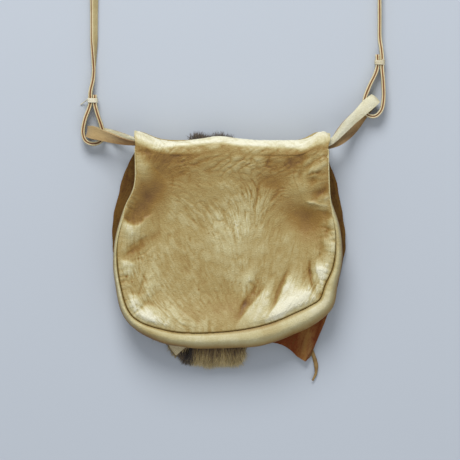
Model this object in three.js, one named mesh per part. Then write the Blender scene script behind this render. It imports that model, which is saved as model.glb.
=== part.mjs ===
// A small leather shoulder pouch with a fur front, lying face down on its closed flap.
// Millimetres, +Z up, the strap end of the pouch towards +Y. The origin lies on the surface
// that the pouch rests on, under the middle of its body.
import * as THREE from 'three';

// Overall size of the body
const pouchWidth = 170;
const pouchHeight = 160;

// Leather, hair and the gap between pieces that are sewn together or lie on each other
const bodyLeather = 1.6;
const flapLeather = 1.5;
const tabLeather = 1.5;
const peltDepth = 8;
const gap = 0.3;

// Body: the puffed gusset, the slack back and the roll at the top
const gussetPuff = 12;
const backSeamHeight = 27;
const backSeamRiseShare = 0.1;
const rollRadius = 11;
const rollTurn = THREE.MathUtils.degToRad(172);
const rollOverhang = 2;
const foldShare = 0.92;
const mouthDrop = 12;
const mouthScoop = 3;

// The flap turns about a line under the front of the roll, and its hide starts short of it
const hingeReach = 2.7;
const hingeSetback = 6;

// Tabs: folded leather strips that hold the strap. A tab starts inside the roll, with some
// room between its edge and the roll's wall.
const tabRootWidth = 7;
const tabEndWidth = 9.4;
const tabInside = 4;
const tabRoom = 1.7;
const tabLoopHeight = 11.2;
const tabLoopLength = 17;
const tabFloorGap = 0.4;

// The cut end of the flap's drawn-out corner
const flapTipCut = [3.8, 3.3];

// Flap thong: a thin leather tail sewn under the flap's corner
const thongWidth = 3;
const thongThickness = 1.8;

// Strap: a folded leather strip, bound with thread at both ends
const strapWidth = 6;
const strapThickness = 2.8;
const strandSpacing = 3.4;
const threadThickness = 0.9;
const leftThreadLength = 3.7;
const rightThreadLength = 4.4;
const coilPitch = 4;
const coilTurns = 3;
const coilOuterTurn = 39.5;
const coilClearance = 0.2;

// Derived sizes and levels, counted up from the surface
const halfWidth = pouchWidth / 2;
const halfHeight = pouchHeight / 2;
const flapUnderside = peltDepth + gap;
const frontSkin = flapUnderside + flapLeather + gap;
const rollMiddle = frontSkin + gap + rollRadius;
const rollTop = rollMiddle + rollRadius;
const foldBase = foldShare * halfHeight;
const flapTop = foldBase + hingeReach - hingeSetback;

// The body's seam, from the top left down, along the bottom and up to the top right.
// Each station is x and y in shares of the half width and half height, then the gusset's puff
// there in shares of gussetPuff.
const sideStations = [
  [-0.804, 0.50, 0.17],
  [-0.894, 0.275, 0.18],
  [-0.971, -0.038, 0.19],
  [-0.947, -0.40, 0.35],
  [-0.841, -0.70, 0.50],
  [-0.529, -0.835, 0.85],
  [-0.105, -0.851, 0.96],
  [0.306, -0.783, 1.20],
  [0.640, -0.640, 1.22],
  [0.780, -0.553, 1.12],
  [0.842, -0.400, 0.86],
  [0.906, -0.245, 0.58],
  [0.929, 0.05, 0.32],
  [0.859, 0.425, 0.19],
];
const leftTopShare = -0.795;
const rightTopShare = 0.841;
const topPuffShare = 0.17;
const leftCorner = 5 / (sideStations.length + 1);
const rightCorner = 10 / (sideStations.length + 1);

// Rises of the roll above its straight base line: centre in shares of the half width, rise
// and spread in millimetres.
const rollRises = [
  { at: -0.82, rise: 7, spread: 14 },
  { at: -0.105, rise: 3, spread: 15 },
  { at: 0.84, rise: 6, spread: 10 },
];

// The strap's route where it isn't coiled, in millimetres. Each half runs from its free end,
// round its tab, back past its free end and on to the coil.
const leftRoute = [
  [-99.9, 108.5, 4.6], [-99.9, 101.6, 4.6], [-98.1, 94.5, 5.3], [-94.9, 85, 6], [-93.4, 78.3, 6],
  [-95.8, 73.6, 6], [-101.5, 71.9, 6], [-106.8, 74.2, 6], [-108.8, 80, 6], [-107.3, 90, 5.5],
  [-104.6, 97.5, 4.9], [-103.3, 102, 4.6], [-103.3, 110, 4.5], [-101.4, 120, 3.5],
  [-100.8, 132, 3.2], [-100.6, 160, 3.2], [-100.6, 200, 3.2], [-100.6, 232, 3.2], [-98.6, 254, 3.2],
  [-90, 270, 3.2], [-75, 277.4, 3.2], [-50, 278.6, 3.2], [-11.5, 278.5, 3.2],
];
const rightRoute = [
  [110.6, 138.5, 4.6], [110.6, 129.8, 4.6], [109.2, 124.5, 4.8], [104.6, 115, 5.4], [100.9, 105, 6],
  [100.6, 98, 6], [103.2, 93.4, 6], [108.6, 92.4, 6], [113.2, 96.6, 6], [115, 105, 6],
  [114.9, 117, 5.4], [114, 129, 4.7], [114, 137, 4.6], [113.4, 143, 4.2], [112.4, 150, 3.3],
  [112.3, 165, 3.2], [112.3, 205, 3.2], [112.2, 236, 3.2], [109.6, 257, 3.2], [100, 271.5, 3.2],
  [84, 278.4, 3.2], [52, 278.8, 3.4], [36, 278.8, 5.6], [29, 278.8, 7.6], [23.5, 279.4, 9.3],
];
const leftThreadPlace = [-101.6, 104.2, 4.6];
const rightThreadPlace = [112.3, 132.8, 4.6];
const coilPlace = [6, 318];

// Plan routes of the tabs from the roll's ends, where they start, out to their folded ends
const leftTabRoute = [[-17.4, 3.0], [-27.4, 4.9], [-36.3, 6.8]];
const rightTabRoute = [[12.5, 5.4], [24.5, 19.9], [36.8, 32.7]];

// Colours
const goldLeather = 0xb3a578;
const flapUnderLeather = 0x6e4418;
const tabColour = 0xa79a68;
const peltColour = 0x8b7d62;
const strapColour = 0xb49c74;
const threadColour = 0xd8cfb4;
const thongColour = 0x6b5830;

function finish(colour, roughness, metalness) {
  return new THREE.MeshStandardMaterial({ color: colour, roughness, metalness });
}

function piece(name, geometry, material) {
  const mesh = new THREE.Mesh(geometry, material);
  mesh.name = name;
  return mesh;
}

function smooth(x, low, high) {
  return THREE.MathUtils.smoothstep(x, low, high);
}

// A sheet of leather as a closed solid. point(u, v) gives its skin, with u and v from 0 to 1,
// and the skin faces along u cross v. The leather lies behind the skin.
function leatherSheet(point, columns, rows, thickness) {
  const skin = [];
  for (let j = 0; j <= rows; j += 1) {
    for (let i = 0; i <= columns; i += 1) {
      skin.push(point(i / columns, j / rows));
    }
  }
  const at = (i, j) => j * (columns + 1) + i;
  const nudge = 0.01;
  const flesh = [];
  for (let j = 0; j <= rows; j += 1) {
    for (let i = 0; i <= columns; i += 1) {
      const [u, v] = [i / columns, j / rows];
      const along = point(Math.min(u + nudge, 1), v).sub(point(Math.max(u - nudge, 0), v));
      const across = point(u, Math.min(v + nudge, 1)).sub(point(u, Math.max(v - nudge, 0)));
      const normal = along.cross(across).normalize();
      flesh.push(skin[at(i, j)].clone().addScaledVector(normal, -thickness));
    }
  }
  const back = skin.length;
  const faces = [];
  const quad = (a, b, c, d) => faces.push(a, b, c, a, c, d);
  for (let j = 0; j < rows; j += 1) {
    for (let i = 0; i < columns; i += 1) {
      quad(at(i, j), at(i + 1, j), at(i + 1, j + 1), at(i, j + 1));
      quad(back + at(i, j), back + at(i, j + 1), back + at(i + 1, j + 1), back + at(i + 1, j));
    }
  }
  const wall = (a, b) => quad(a, back + a, back + b, b);
  for (let i = 0; i < columns; i += 1) {
    wall(at(i, 0), at(i + 1, 0));
    wall(at(i + 1, rows), at(i, rows));
  }
  for (let j = 0; j < rows; j += 1) {
    wall(at(0, j + 1), at(0, j));
    wall(at(columns, j), at(columns, j + 1));
  }
  const geometry = new THREE.BufferGeometry();
  geometry.setFromPoints(skin.concat(flesh));
  geometry.setIndex(faces);
  geometry.computeVertexNormals();
  return geometry;
}

// A patch stretched between four edge curves that meet at their corners
function coonsPatch(left, right, bottom, top) {
  const cornerBlend = (u, v) => {
    const low = bottom(0).clone().lerp(bottom(1), u);
    const high = top(0).clone().lerp(top(1), u);
    return low.lerp(high, v);
  };
  return (u, v) => {
    const acrossWay = left(v).clone().lerp(right(v), u);
    const upWay = bottom(u).clone().lerp(top(u), v);
    return acrossWay.add(upWay).sub(cornerBlend(u, v));
  };
}

// Outline of a strip of even width along a plane curve
function stripOutline(points, width, steps) {
  const curve = new THREE.SplineCurve(points.map(([x, y]) => new THREE.Vector2(x, y)));
  const sides = [[], []];
  for (let i = 0; i <= steps; i += 1) {
    const middle = curve.getPointAt(i / steps);
    const tangent = curve.getTangentAt(i / steps);
    const half = new THREE.Vector2(-tangent.y, tangent.x).multiplyScalar(width / 2);
    sides[0].push(middle.clone().add(half));
    sides[1].unshift(middle.clone().sub(half));
  }
  return new THREE.Shape(sides[0].concat(sides[1]));
}

function roundedRectangle(path, halfX, halfY, corner) {
  path.moveTo(halfX, -halfY + corner);
  path.lineTo(halfX, halfY - corner);
  path.absarc(halfX - corner, halfY - corner, corner, 0, Math.PI / 2, false);
  path.lineTo(-halfX + corner, halfY);
  path.absarc(-halfX + corner, halfY - corner, corner, Math.PI / 2, Math.PI, false);
  path.lineTo(-halfX, -halfY + corner);
  path.absarc(-halfX + corner, -halfY + corner, corner, Math.PI, Math.PI * 1.5, false);
  path.lineTo(halfX - corner, -halfY);
  path.absarc(halfX - corner, -halfY + corner, corner, Math.PI * 1.5, Math.PI * 2, false);
  return path;
}

// The roll's foremost edge and the line where the back turns into it
function rollEdge(x) {
  let y = foldBase;
  for (const { at, rise, spread } of rollRises) {
    y += rise * Math.exp(-(((x - at * halfWidth) / spread) ** 2));
  }
  return y;
}

function foldLine(x) {
  return rollEdge(x) - rollRadius;
}

// The body's seam in plan, with the puff in place of z
function makeSeam() {
  const leftX = leftTopShare * halfWidth;
  const rightX = rightTopShare * halfWidth;
  const points = [new THREE.Vector3(leftX, foldLine(leftX) - gap, topPuffShare)];
  for (const [x, y, puff] of sideStations) {
    points.push(new THREE.Vector3(x * halfWidth, y * halfHeight, puff));
  }
  points.push(new THREE.Vector3(rightX, foldLine(rightX) - gap, topPuffShare));
  return new THREE.CatmullRomCurve3(points);
}

const seam = makeSeam();

// Height of the back seam: low round the bottom, rising to the roll
function seamHeight(y) {
  const rise = smooth(y, backSeamRiseShare * halfHeight, foldBase - rollRadius);
  return backSeamHeight + (rollTop - backSeamHeight) * rise;
}

function seamOutward(t) {
  const tangent = seam.getTangent(t);
  return new THREE.Vector3(tangent.y, -tangent.x, 0).normalize();
}

// A panel's edge lies just inside the seam, and further in where the gusset stands steeply
function panelEdge(t, height) {
  const place = seam.getPoint(t);
  const steep = 1 - smooth(place.z * gussetPuff, bodyLeather, 5 * bodyLeather);
  const edge = new THREE.Vector3(place.x, place.y, 0);
  edge.addScaledVector(seamOutward(t), -gap - (steep * bodyLeather) / 2);
  edge.z = height(place.y);
  return edge;
}

function seamAtHeight(y, low, high) {
  const rising = seam.getPoint(high).y > seam.getPoint(low).y;
  let [a, b] = [low, high];
  for (let step = 0; step < 40; step += 1) {
    const middle = (a + b) / 2;
    if (seam.getPoint(middle).y < y === rising) {
      a = middle;
    } else {
      b = middle;
    }
  }
  return (a + b) / 2;
}

function makeGusset() {
  const point = (u, v) => {
    const place = seam.getPoint(u);
    const turn = Math.PI * (1 - v);
    const back = seamHeight(place.y);
    const skin = new THREE.Vector3(place.x, place.y, 0);
    skin.addScaledVector(seamOutward(u), place.z * gussetPuff * Math.sin(turn));
    skin.z = frontSkin + ((back - frontSkin) * (1 + Math.cos(turn))) / 2;
    return skin;
  };
  const columns = 5 * (sideStations.length + 1);
  const rows = 8;
  const sheet = leatherSheet(point, columns, rows, bodyLeather);
  return piece('gusset', sheet, finish(goldLeather, 0.45, 0.35));
}

// The back panel's top edge turns over in a roll towards the front
function makeBackPanel() {
  const left = (v) => panelEdge(leftCorner * (1 - v), seamHeight);
  const right = (v) => panelEdge(rightCorner + (1 - rightCorner) * v, seamHeight);
  const bottom = (u) => panelEdge(leftCorner + (rightCorner - leftCorner) * u, seamHeight);
  const top = (u) => {
    const x = THREE.MathUtils.lerp(left(1).x, right(1).x, u);
    return new THREE.Vector3(x, foldLine(x) - gap, rollTop);
  };
  const flat = coonsPatch(left, right, bottom, top);
  const columns = 20;
  const flatRows = 20;
  const rollRows = 12;
  const rows = flatRows + rollRows;
  const flatShare = flatRows / rows;
  const point = (u, v) => {
    if (v <= flatShare) {
      return flat(u, v / flatShare);
    }
    const share = (v - flatShare) / (1 - flatShare);
    const turn = share * rollTurn;
    const edge = top(u);
    const x = edge.x + (2 * u - 1) * rollOverhang * smooth(share, 0, 0.3);
    const y = foldLine(edge.x) + rollRadius * Math.sin(turn);
    return new THREE.Vector3(x, y, rollMiddle + rollRadius * Math.cos(turn));
  };
  const sheet = leatherSheet(point, columns, rows, bodyLeather);
  return piece('back_panel', sheet, finish(goldLeather, 0.45, 0.35));
}

// The front panel lies under the back and stops short of the roll, which leaves the mouth
function makeFrontPanel() {
  const level = () => frontSkin;
  const mouth = foldBase - rollRadius - mouthDrop;
  const leftMouth = seamAtHeight(mouth, 0, leftCorner);
  const rightMouth = seamAtHeight(mouth, rightCorner, 1);
  const left = (v) => panelEdge(THREE.MathUtils.lerp(rightCorner, rightMouth, v), level);
  const right = (v) => panelEdge(THREE.MathUtils.lerp(leftCorner, leftMouth, v), level);
  const bottom = (u) => panelEdge(THREE.MathUtils.lerp(rightCorner, leftCorner, u), level);
  const top = (u) => {
    const edge = left(1).clone().lerp(right(1), u);
    edge.y -= mouthScoop * Math.sin(Math.PI * u);
    return edge;
  };
  const sheet = leatherSheet(coonsPatch(left, right, bottom, top), 20, 14, bodyLeather);
  return piece('front_panel', sheet, finish(goldLeather, 0.5, 0.3));
}

function planPoint([x, y]) {
  return new THREE.Vector2(x * halfWidth, y * halfHeight);
}

// The flap's hide, a soft skin shape with one drawn-out corner at the bottom right
const flapTip = planPoint([0.67, -1.119]);

function makeFlapLeather() {
  const leftSide = [[-0.896, 0.68], [-0.975, 0.40], [-1.019, 0.16], [-1.019, -0.03], [-0.965, -0.35],
    [-0.80, -0.675], [-0.54, -0.90], [-0.14, -0.975], [0.42, -0.96]];
  const rightSide = [[0.862, -0.694], [0.976, -0.31], [1.021, 0], [0.993, 0.245], [0.94, 0.54],
    [0.879, 0.73]];
  const outline = new THREE.Shape();
  outline.moveTo(leftTopShare * halfWidth, flapTop);
  outline.splineThru(leftSide.map(planPoint));
  outline.lineTo(flapTip.x, flapTip.y);
  outline.lineTo(flapTip.x + flapTipCut[0], flapTip.y + flapTipCut[1]);
  outline.splineThru(rightSide.map(planPoint));
  outline.lineTo(rightTopShare * halfWidth, flapTop);
  outline.closePath();
  const geometry = new THREE.ExtrudeGeometry(outline, {
    depth: flapLeather, bevelEnabled: false, curveSegments: 4,
  });
  const mesh = piece('flap_leather', geometry, finish(flapUnderLeather, 0.85, 0));
  mesh.position.z = flapUnderside;
  return mesh;
}

// The pelt is sewn on the flap's outside, and its hair is pressed flat under the pouch
function makePelt() {
  const round = 2.5;
  const leftSide = [[-0.66, 0.38], [-0.75, -0.12], [-0.64, -0.64], [-0.47, -1.07]];
  const rightSide = [[0.17, -1.07], [0.38, -0.62], [0.46, -0.10], [0.31, 0.40]];
  const outline = new THREE.Shape();
  const topLeft = planPoint([-0.42, 0]);
  const topRight = planPoint([0.10, 0]);
  outline.moveTo(topLeft.x, flapTop - gap);
  outline.splineThru(leftSide.map(planPoint));
  outline.splineThru([planPoint([-0.15, -1.04]), planPoint(rightSide[0])]);
  outline.splineThru(rightSide.slice(1).map(planPoint).concat(
    new THREE.Vector2(topRight.x, flapTop - gap),
  ));
  outline.closePath();
  const geometry = new THREE.ExtrudeGeometry(outline, {
    depth: peltDepth - 2 * round,
    bevelEnabled: true,
    bevelThickness: round,
    bevelSize: round,
    bevelOffset: -round,
    bevelSegments: 2,
    curveSegments: 5,
  });
  const mesh = piece('flap_pelt', geometry, finish(peltColour, 1, 0));
  mesh.position.z = round;
  return mesh;
}

// A thin tail that starts under the flap's corner and curls past it
function makeThong() {
  const fromTip = [[0.5, 17.5], [4, 10.7], [6.4, 1.1], [5.7, -7.1], [2.9, -15.2]];
  const points = fromTip.map(([x, y]) => [flapTip.x + x, flapTip.y + y]);
  const geometry = new THREE.ExtrudeGeometry(stripOutline(points, thongWidth, 12), {
    depth: thongThickness, bevelEnabled: false,
  });
  const mesh = piece('flap_thong', geometry, finish(thongColour, 0.7, 0.1));
  mesh.position.z = flapUnderside - gap - thongThickness;
  return mesh;
}

// A tab starts inside the roll, runs out of its end, folds round the strap and comes back under
// itself. Its two layers lie together in the roll, and its edge follows the roll's inner wall.
function makeTab(name, rootX, insideX, route) {
  const rootHalf = tabLeather + gap;
  const wall = Math.sqrt((rollRadius - bodyLeather - tabRoom) ** 2 - rootHalf ** 2);
  const start = (x) => new THREE.Vector3(x, foldLine(x) + wall - tabRootWidth / 2, 0);
  const root = start(rootX);
  const planPoints = [start(insideX), root];
  for (const [x, y] of route) {
    planPoints.push(new THREE.Vector3(root.x + x, root.y + y, 0));
  }
  const plan = new THREE.CatmullRomCurve3(planPoints);
  const length = plan.getLength();
  const exit = Math.abs(rootX - insideX) + gap;
  const middle = tabFloorGap + tabLoopHeight / 2;
  const half = tabLoopHeight / 2;
  const straight = length - half;
  const layer = (s, way) => {
    const open = smooth(s, exit, length - tabLoopLength);
    return THREE.MathUtils.lerp(rollMiddle + way * rootHalf, middle + way * half, open);
  };
  const layerShare = 0.4;
  const bendShare = 1 - 2 * layerShare;
  const profile = (u) => {
    if (u < layerShare) {
      const s = (straight * u) / layerShare;
      return [s, layer(s, 1)];
    }
    if (u > 1 - layerShare) {
      const s = (straight * (1 - u)) / layerShare;
      return [s, layer(s, -1)];
    }
    const turn = (Math.PI * (u - layerShare)) / bendShare;
    return [straight + half * Math.sin(turn), middle + half * Math.cos(turn)];
  };
  const point = (u, v) => {
    const [s, z] = profile(u);
    const share = THREE.MathUtils.clamp(s / length, 0, 1);
    const place = plan.getPointAt(share);
    const along = plan.getTangentAt(share);
    const width = THREE.MathUtils.lerp(tabRootWidth, tabEndWidth, share);
    const sideways = (v - 0.5) * width;
    return new THREE.Vector3(place.x - along.y * sideways, place.y + along.x * sideways, z);
  };
  return piece(name, leatherSheet(point, 40, 2, tabLeather), finish(tabColour, 0.5, 0.3));
}

// The strap's section: its width stands upright where the strap lies on its edge
function strapSection() {
  const edge = 0.7;
  const x = strapWidth / 2;
  const y = strapThickness / 2;
  const corners = [[x, -y + edge], [x, y - edge], [x - edge, y], [-x + edge, y],
    [-x, y - edge], [-x, -y + edge], [-x + edge, -y], [x - edge, -y]];
  return new THREE.Shape(corners.map(([a, b]) => new THREE.Vector2(a, b)));
}

// A route whose steps follow its points, which lie closest together in the bends
class Route extends THREE.CatmullRomCurve3 {
  getUtoTmapping(u) {
    return u;
  }
}

function makeStrand(name, route) {
  const path = new Route(route.map(([x, y, z]) => new THREE.Vector3(x, y, z)));
  const geometry = new THREE.ExtrudeGeometry(strapSection(), {
    steps: 2 * (route.length - 1), extrudePath: path, bevelEnabled: false,
  });
  return piece(name, geometry, finish(strapColour, 0.6, 0.15));
}

// The outer shape of the strap's coil
function makeCoil() {
  const outer = coilOuterTurn + strapThickness / 2 + coilClearance;
  const inner = coilOuterTurn - coilPitch * coilTurns - strapThickness / 2 - coilClearance;
  const low = coilClearance;
  const high = coilClearance + strapWidth;
  const profile = [[inner, low], [outer, low], [outer, high], [inner, high], [inner, low]];
  const geometry = new THREE.LatheGeometry(profile.map(([r, z]) => new THREE.Vector2(r, z)), 44);
  geometry.rotateX(Math.PI / 2);
  const mesh = piece('strap_coil', geometry, finish(strapColour, 0.6, 0.15));
  mesh.position.set(coilPlace[0], coilPlace[1], 0);
  return mesh;
}

// Thread wound round the two strands where the strap's end is folded back
function makeThread(name, place, length) {
  const holeX = (strandSpacing + strapThickness) / 2 + gap;
  const holeZ = strapWidth / 2 + gap;
  const outerCorner = 2;
  const innerCorner = 0.8;
  const outline = roundedRectangle(
    new THREE.Shape(), holeX + threadThickness, holeZ + threadThickness, outerCorner,
  );
  outline.holes.push(roundedRectangle(new THREE.Path(), holeX, holeZ, innerCorner));
  const geometry = new THREE.ExtrudeGeometry(outline, {
    depth: length, bevelEnabled: false, curveSegments: 3,
  });
  geometry.translate(0, 0, -length / 2);
  const mesh = piece(name, geometry, finish(threadColour, 0.9, 0));
  mesh.rotation.x = Math.PI / 2;
  mesh.position.set(...place);
  return mesh;
}

const leftRootX = leftTopShare * halfWidth;
const rightRootX = rightTopShare * halfWidth;

const pouch = new THREE.Group();
pouch.add(
  makeBackPanel(),
  makeFrontPanel(),
  makeGusset(),
  makeTab('left_tab', leftRootX, leftRootX + tabInside, leftTabRoute),
  makeTab('right_tab', rightRootX, rightRootX - tabInside, rightTabRoute),
);

const flap = new THREE.Group();
flap.add(makeFlapLeather(), makePelt(), makeThong());

const strap = new THREE.Group();
strap.add(
  makeStrand('strap_left', leftRoute),
  makeStrand('strap_right', rightRoute),
  makeCoil(),
  makeThread('left_strap_thread', leftThreadPlace, leftThreadLength),
  makeThread('right_strap_thread', rightThreadPlace, rightThreadLength),
);

const model = new THREE.Group();
model.add(pouch, flap, strap);

export default model;
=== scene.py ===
"""A small gold leather shoulder pouch with a fur front, lying face down on its closed flap.

Metres, in the frame of the CAD model: +Z up, +Y towards the strap's end of the pouch.
"""
import math

import bpy
import numpy as np
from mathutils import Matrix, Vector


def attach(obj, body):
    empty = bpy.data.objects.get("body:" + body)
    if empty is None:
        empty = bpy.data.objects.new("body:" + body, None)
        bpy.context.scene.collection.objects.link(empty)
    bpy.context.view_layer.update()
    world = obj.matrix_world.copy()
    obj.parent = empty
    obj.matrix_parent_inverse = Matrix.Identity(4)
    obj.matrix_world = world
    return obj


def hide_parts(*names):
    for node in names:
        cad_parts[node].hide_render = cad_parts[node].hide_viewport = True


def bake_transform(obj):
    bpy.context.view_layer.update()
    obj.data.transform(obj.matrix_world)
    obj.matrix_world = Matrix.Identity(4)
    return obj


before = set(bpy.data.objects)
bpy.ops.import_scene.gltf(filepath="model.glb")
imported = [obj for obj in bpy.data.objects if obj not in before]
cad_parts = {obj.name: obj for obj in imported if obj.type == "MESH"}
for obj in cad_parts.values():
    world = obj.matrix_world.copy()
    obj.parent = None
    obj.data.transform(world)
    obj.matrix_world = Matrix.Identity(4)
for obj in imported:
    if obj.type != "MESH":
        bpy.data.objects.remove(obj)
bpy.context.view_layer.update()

# Sizes of the CAD model that the looks repeat
HALF_WIDTH = 0.085
HALF_HEIGHT = 0.080
BODY_LEATHER = 0.0016
FLAP_LEATHER = 0.0015
TAB_LEATHER = 0.0015
GAP = 0.0003
GUSSET_PUFF = 0.012
BACK_SEAM_HEIGHT = 0.027
FRONT_SKIN = 0.0101
FLAP_UNDERSIDE = 0.0083
ROLL_RADIUS = 0.011
ROLL_MIDDLE = 0.0214
ROLL_TOP = 0.0324
ROLL_TURN = math.radians(172)
FOLD_BASE = 0.0736
FLAP_TOP = 0.0703
STRAP_WIDTH = 0.006
STRAP_THICKNESS = 0.0028

# Camera: straight above, framing as in the photograph
CAMERA_X, CAMERA_Y = 0.00074, 0.00777
CAMERA_HEIGHT = 2.2
FRAME_WIDTH = 0.3404
FRAME_LEVEL = 0.02
SENSOR = 36.0

# Lamps: name, place, size across, power. All face LAMP_TARGET
LAMPS = [("window", (-0.25, 1.5, 1.25), 1.1, 34), ("fill", (0.5, -1.1, 1.6), 1.6, 7)]
LAMP_TARGET = (0.0, 0.0, 0.02)
SKY_COLOUR, SKY_STRENGTH = (0.93, 0.96, 1.0, 1), 0.42
FLOOR_COLOUR = (186, 193, 202)
FLOOR_HALF = 4.0


def smooth(x, low, high):
    """0 below low, 1 above high, and a smooth rise between them."""
    t = np.clip((np.asarray(x, float) - low) / (high - low), 0, 1)
    return t * t * (3 - 2 * t)


def lerp(a, b, t):
    return a + (b - a) * t


def bell(x, spread):
    """1 at x = 0, falling away within about spread on both sides."""
    return np.exp(-((x / spread) ** 2))


def joined(*parts):
    """Coordinates from their parts, which are stretched to one shape."""
    return np.stack(np.broadcast_arrays(*parts), axis=-1)


def in_range(tone):
    return np.clip(tone, 0.02, 0.98)


def hashed(ix, iy, seed):
    """A number from -1 to 1 for each pair of whole numbers, the same on every run."""
    mask = 0xFFFFFFFF
    n = (ix * 374761393 + iy * 668265263 + seed * 1442695041) & mask
    n = ((n ^ (n >> 13)) * 1274126177) & mask
    n = n ^ (n >> 16)
    return (n & 0xFFFF) / 32767.5 - 1.0


def noise(x, y, seed):
    """Smooth noise from -1 to 1 with one bump in each unit square."""
    x, y = np.broadcast_arrays(np.asarray(x, float), np.asarray(y, float))
    ix, iy = np.floor(x).astype(np.int64), np.floor(y).astype(np.int64)
    sx, sy = smooth(x - ix, 0, 1), smooth(y - iy, 0, 1)
    low = lerp(hashed(ix, iy, seed), hashed(ix + 1, iy, seed), sx)
    high = lerp(hashed(ix, iy + 1, seed), hashed(ix + 1, iy + 1, seed), sx)
    return lerp(low, high, sy)


def fractal(x, y, seed):
    """Three layers of noise, each half as large and half as strong as the one before."""
    total, weight = 0.0, 0.0
    for k in range(3):
        total = total + noise(x * 2**k, y * 2**k, seed + 17 * k) / 2**k
        weight += 1 / 2**k
    return total / weight


def creases(x, y, seed):
    """Thin valleys between rounded folds, from -1 in a valley to 1 on a fold."""
    return 1 - 2 * (1 - np.abs(noise(x, y, seed))) ** 4


def spline(points, places):
    """Centripetal Catmull-Rom curve through points, at places from 0 to 1 shared evenly by its stretches."""
    points = np.asarray(points, float)
    padded = np.vstack([2 * points[0] - points[1], points, 2 * points[-1] - points[-2]])
    stretches = len(points) - 1
    at = np.clip(np.asarray(places, float), 0, 1) * stretches
    first = np.minimum(at.astype(int), stretches - 1)
    s = (at - first)[..., None]
    a, b, c, d = (padded[first + k] for k in range(4))
    before, here, after = (
        np.linalg.norm(q - p, axis=-1, keepdims=True) ** 0.5
        for p, q in ((a, b), (b, c), (c, d))
    )
    leave = ((b - a) / before - (c - a) / (before + here) + (c - b) / here) * here
    arrive = ((c - b) / here - (d - b) / (here + after) + (d - c) / after) * here
    cube, square = s**3, s**2
    return (
        (2 * cube - 3 * square + 1) * b
        + (cube - 2 * square + s) * leave
        + (3 * square - 2 * cube) * c
        + (cube - square) * arrive
    )


def run_of(line):
    """Distance along a line of points, from its start to each point."""
    steps = np.linalg.norm(np.diff(line, axis=0), axis=1)
    return np.concatenate([[0.0], np.cumsum(steps)])


def evenly(line, count):
    """The same line with count points an even distance apart."""
    run = run_of(line)
    even = np.linspace(0, run[-1], count)
    return joined(*(np.interp(even, run, part) for part in line.T))


def through(points, count):
    """A smooth line through points, with count points an even distance apart."""
    return evenly(spline(points, np.linspace(0, 1, 24 * len(points))), count)


def unit(vectors):
    length = np.linalg.norm(vectors, axis=-1, keepdims=True)
    return vectors / np.maximum(length, 1e-12)


# Meshes


def grid_faces(rows, columns, start=0, flip=False, closed=False):
    """Quads of a grid of rows by columns points. A closed grid joins its last column to its first."""
    i = np.arange(columns if closed else columns - 1)
    j = np.arange(rows - 1)[:, None]
    beside = (i + 1) % columns
    a = start + j * columns + i
    b = start + j * columns + beside
    c = start + (j + 1) * columns + beside
    d = start + (j + 1) * columns + i
    order = (a, d, c, b) if flip else (a, b, c, d)
    return joined(*order).reshape(-1, 4).tolist()


def grid_normals(points):
    across = np.gradient(points, axis=1)
    along = np.gradient(points, axis=0)
    return unit(np.cross(across, along))


def shell(points, thickness):
    """Closed leather: the skin as given, and the flesh side behind it at half its detail.

    points has odd numbers of rows and columns. Returns vertices, faces and the number of faces
    that are skin, which come first.
    """
    rows, columns = points.shape[:2]
    flesh = (points - grid_normals(points) * thickness)[::2, ::2]
    low_rows, low_columns = flesh.shape[:2]
    start = rows * columns
    faces = grid_faces(rows, columns)
    skin_faces = len(faces)
    faces += grid_faces(low_rows, low_columns, start, flip=True)

    def rim(skin, behind):
        for k in range(len(behind) - 1):
            faces.append([skin[2 * k + 2], skin[2 * k + 1], skin[2 * k], behind[k], behind[k + 1]])

    skin_index = np.arange(rows * columns).reshape(rows, columns)
    behind_index = start + np.arange(low_rows * low_columns).reshape(low_rows, low_columns)
    for skin, behind in (
        (skin_index[0], behind_index[0]),
        (skin_index[:, -1], behind_index[:, -1]),
        (skin_index[-1, ::-1], behind_index[-1, ::-1]),
        (skin_index[::-1, 0], behind_index[::-1, 0]),
    ):
        rim(skin.tolist(), behind.tolist())
    vertices = np.concatenate([points.reshape(-1, 3), flesh.reshape(-1, 3)])
    return vertices, faces, skin_faces


def make_piece(name, vertices, faces, finishes, body, tone, finish_of=None):
    """A smooth mesh piece on a CAD body, with its tone stored at its points."""
    mesh = bpy.data.meshes.new(name)
    mesh.from_pydata(np.asarray(vertices).tolist(), [], faces)
    for finish in finishes:
        mesh.materials.append(finish)
    if finish_of is not None:
        mesh.polygons.foreach_set("material_index", np.asarray(finish_of, np.int32))
    layer = mesh.attributes.new("tone", "FLOAT", "POINT")
    layer.data.foreach_set("value", np.asarray(tone, np.float32).ravel())
    mesh.polygons.foreach_set("use_smooth", np.ones(len(mesh.polygons), bool))
    mesh.update()
    piece = bpy.data.objects.new(name, mesh)
    bpy.context.scene.collection.objects.link(piece)
    if body is not None:
        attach(piece, body)
    return piece


def leather_piece(name, points, thickness, skin, flesh, body, tone, flesh_tone):
    """A shell with one finish on its skin and one on its flesh side and cut edges."""
    vertices, faces, skin_faces = shell(points, thickness)
    tone, flesh_tone = (np.broadcast_to(t, points.shape[:2]) for t in (tone, flesh_tone))
    tones = np.concatenate([tone.ravel(), flesh_tone[::2, ::2].ravel()])
    finish_of = np.arange(len(faces)) >= skin_faces
    piece = make_piece(name, vertices, faces, [skin, flesh], body, tones, finish_of)
    piece.data.set_sharp_from_angle(angle=math.radians(60))
    return piece


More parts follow.
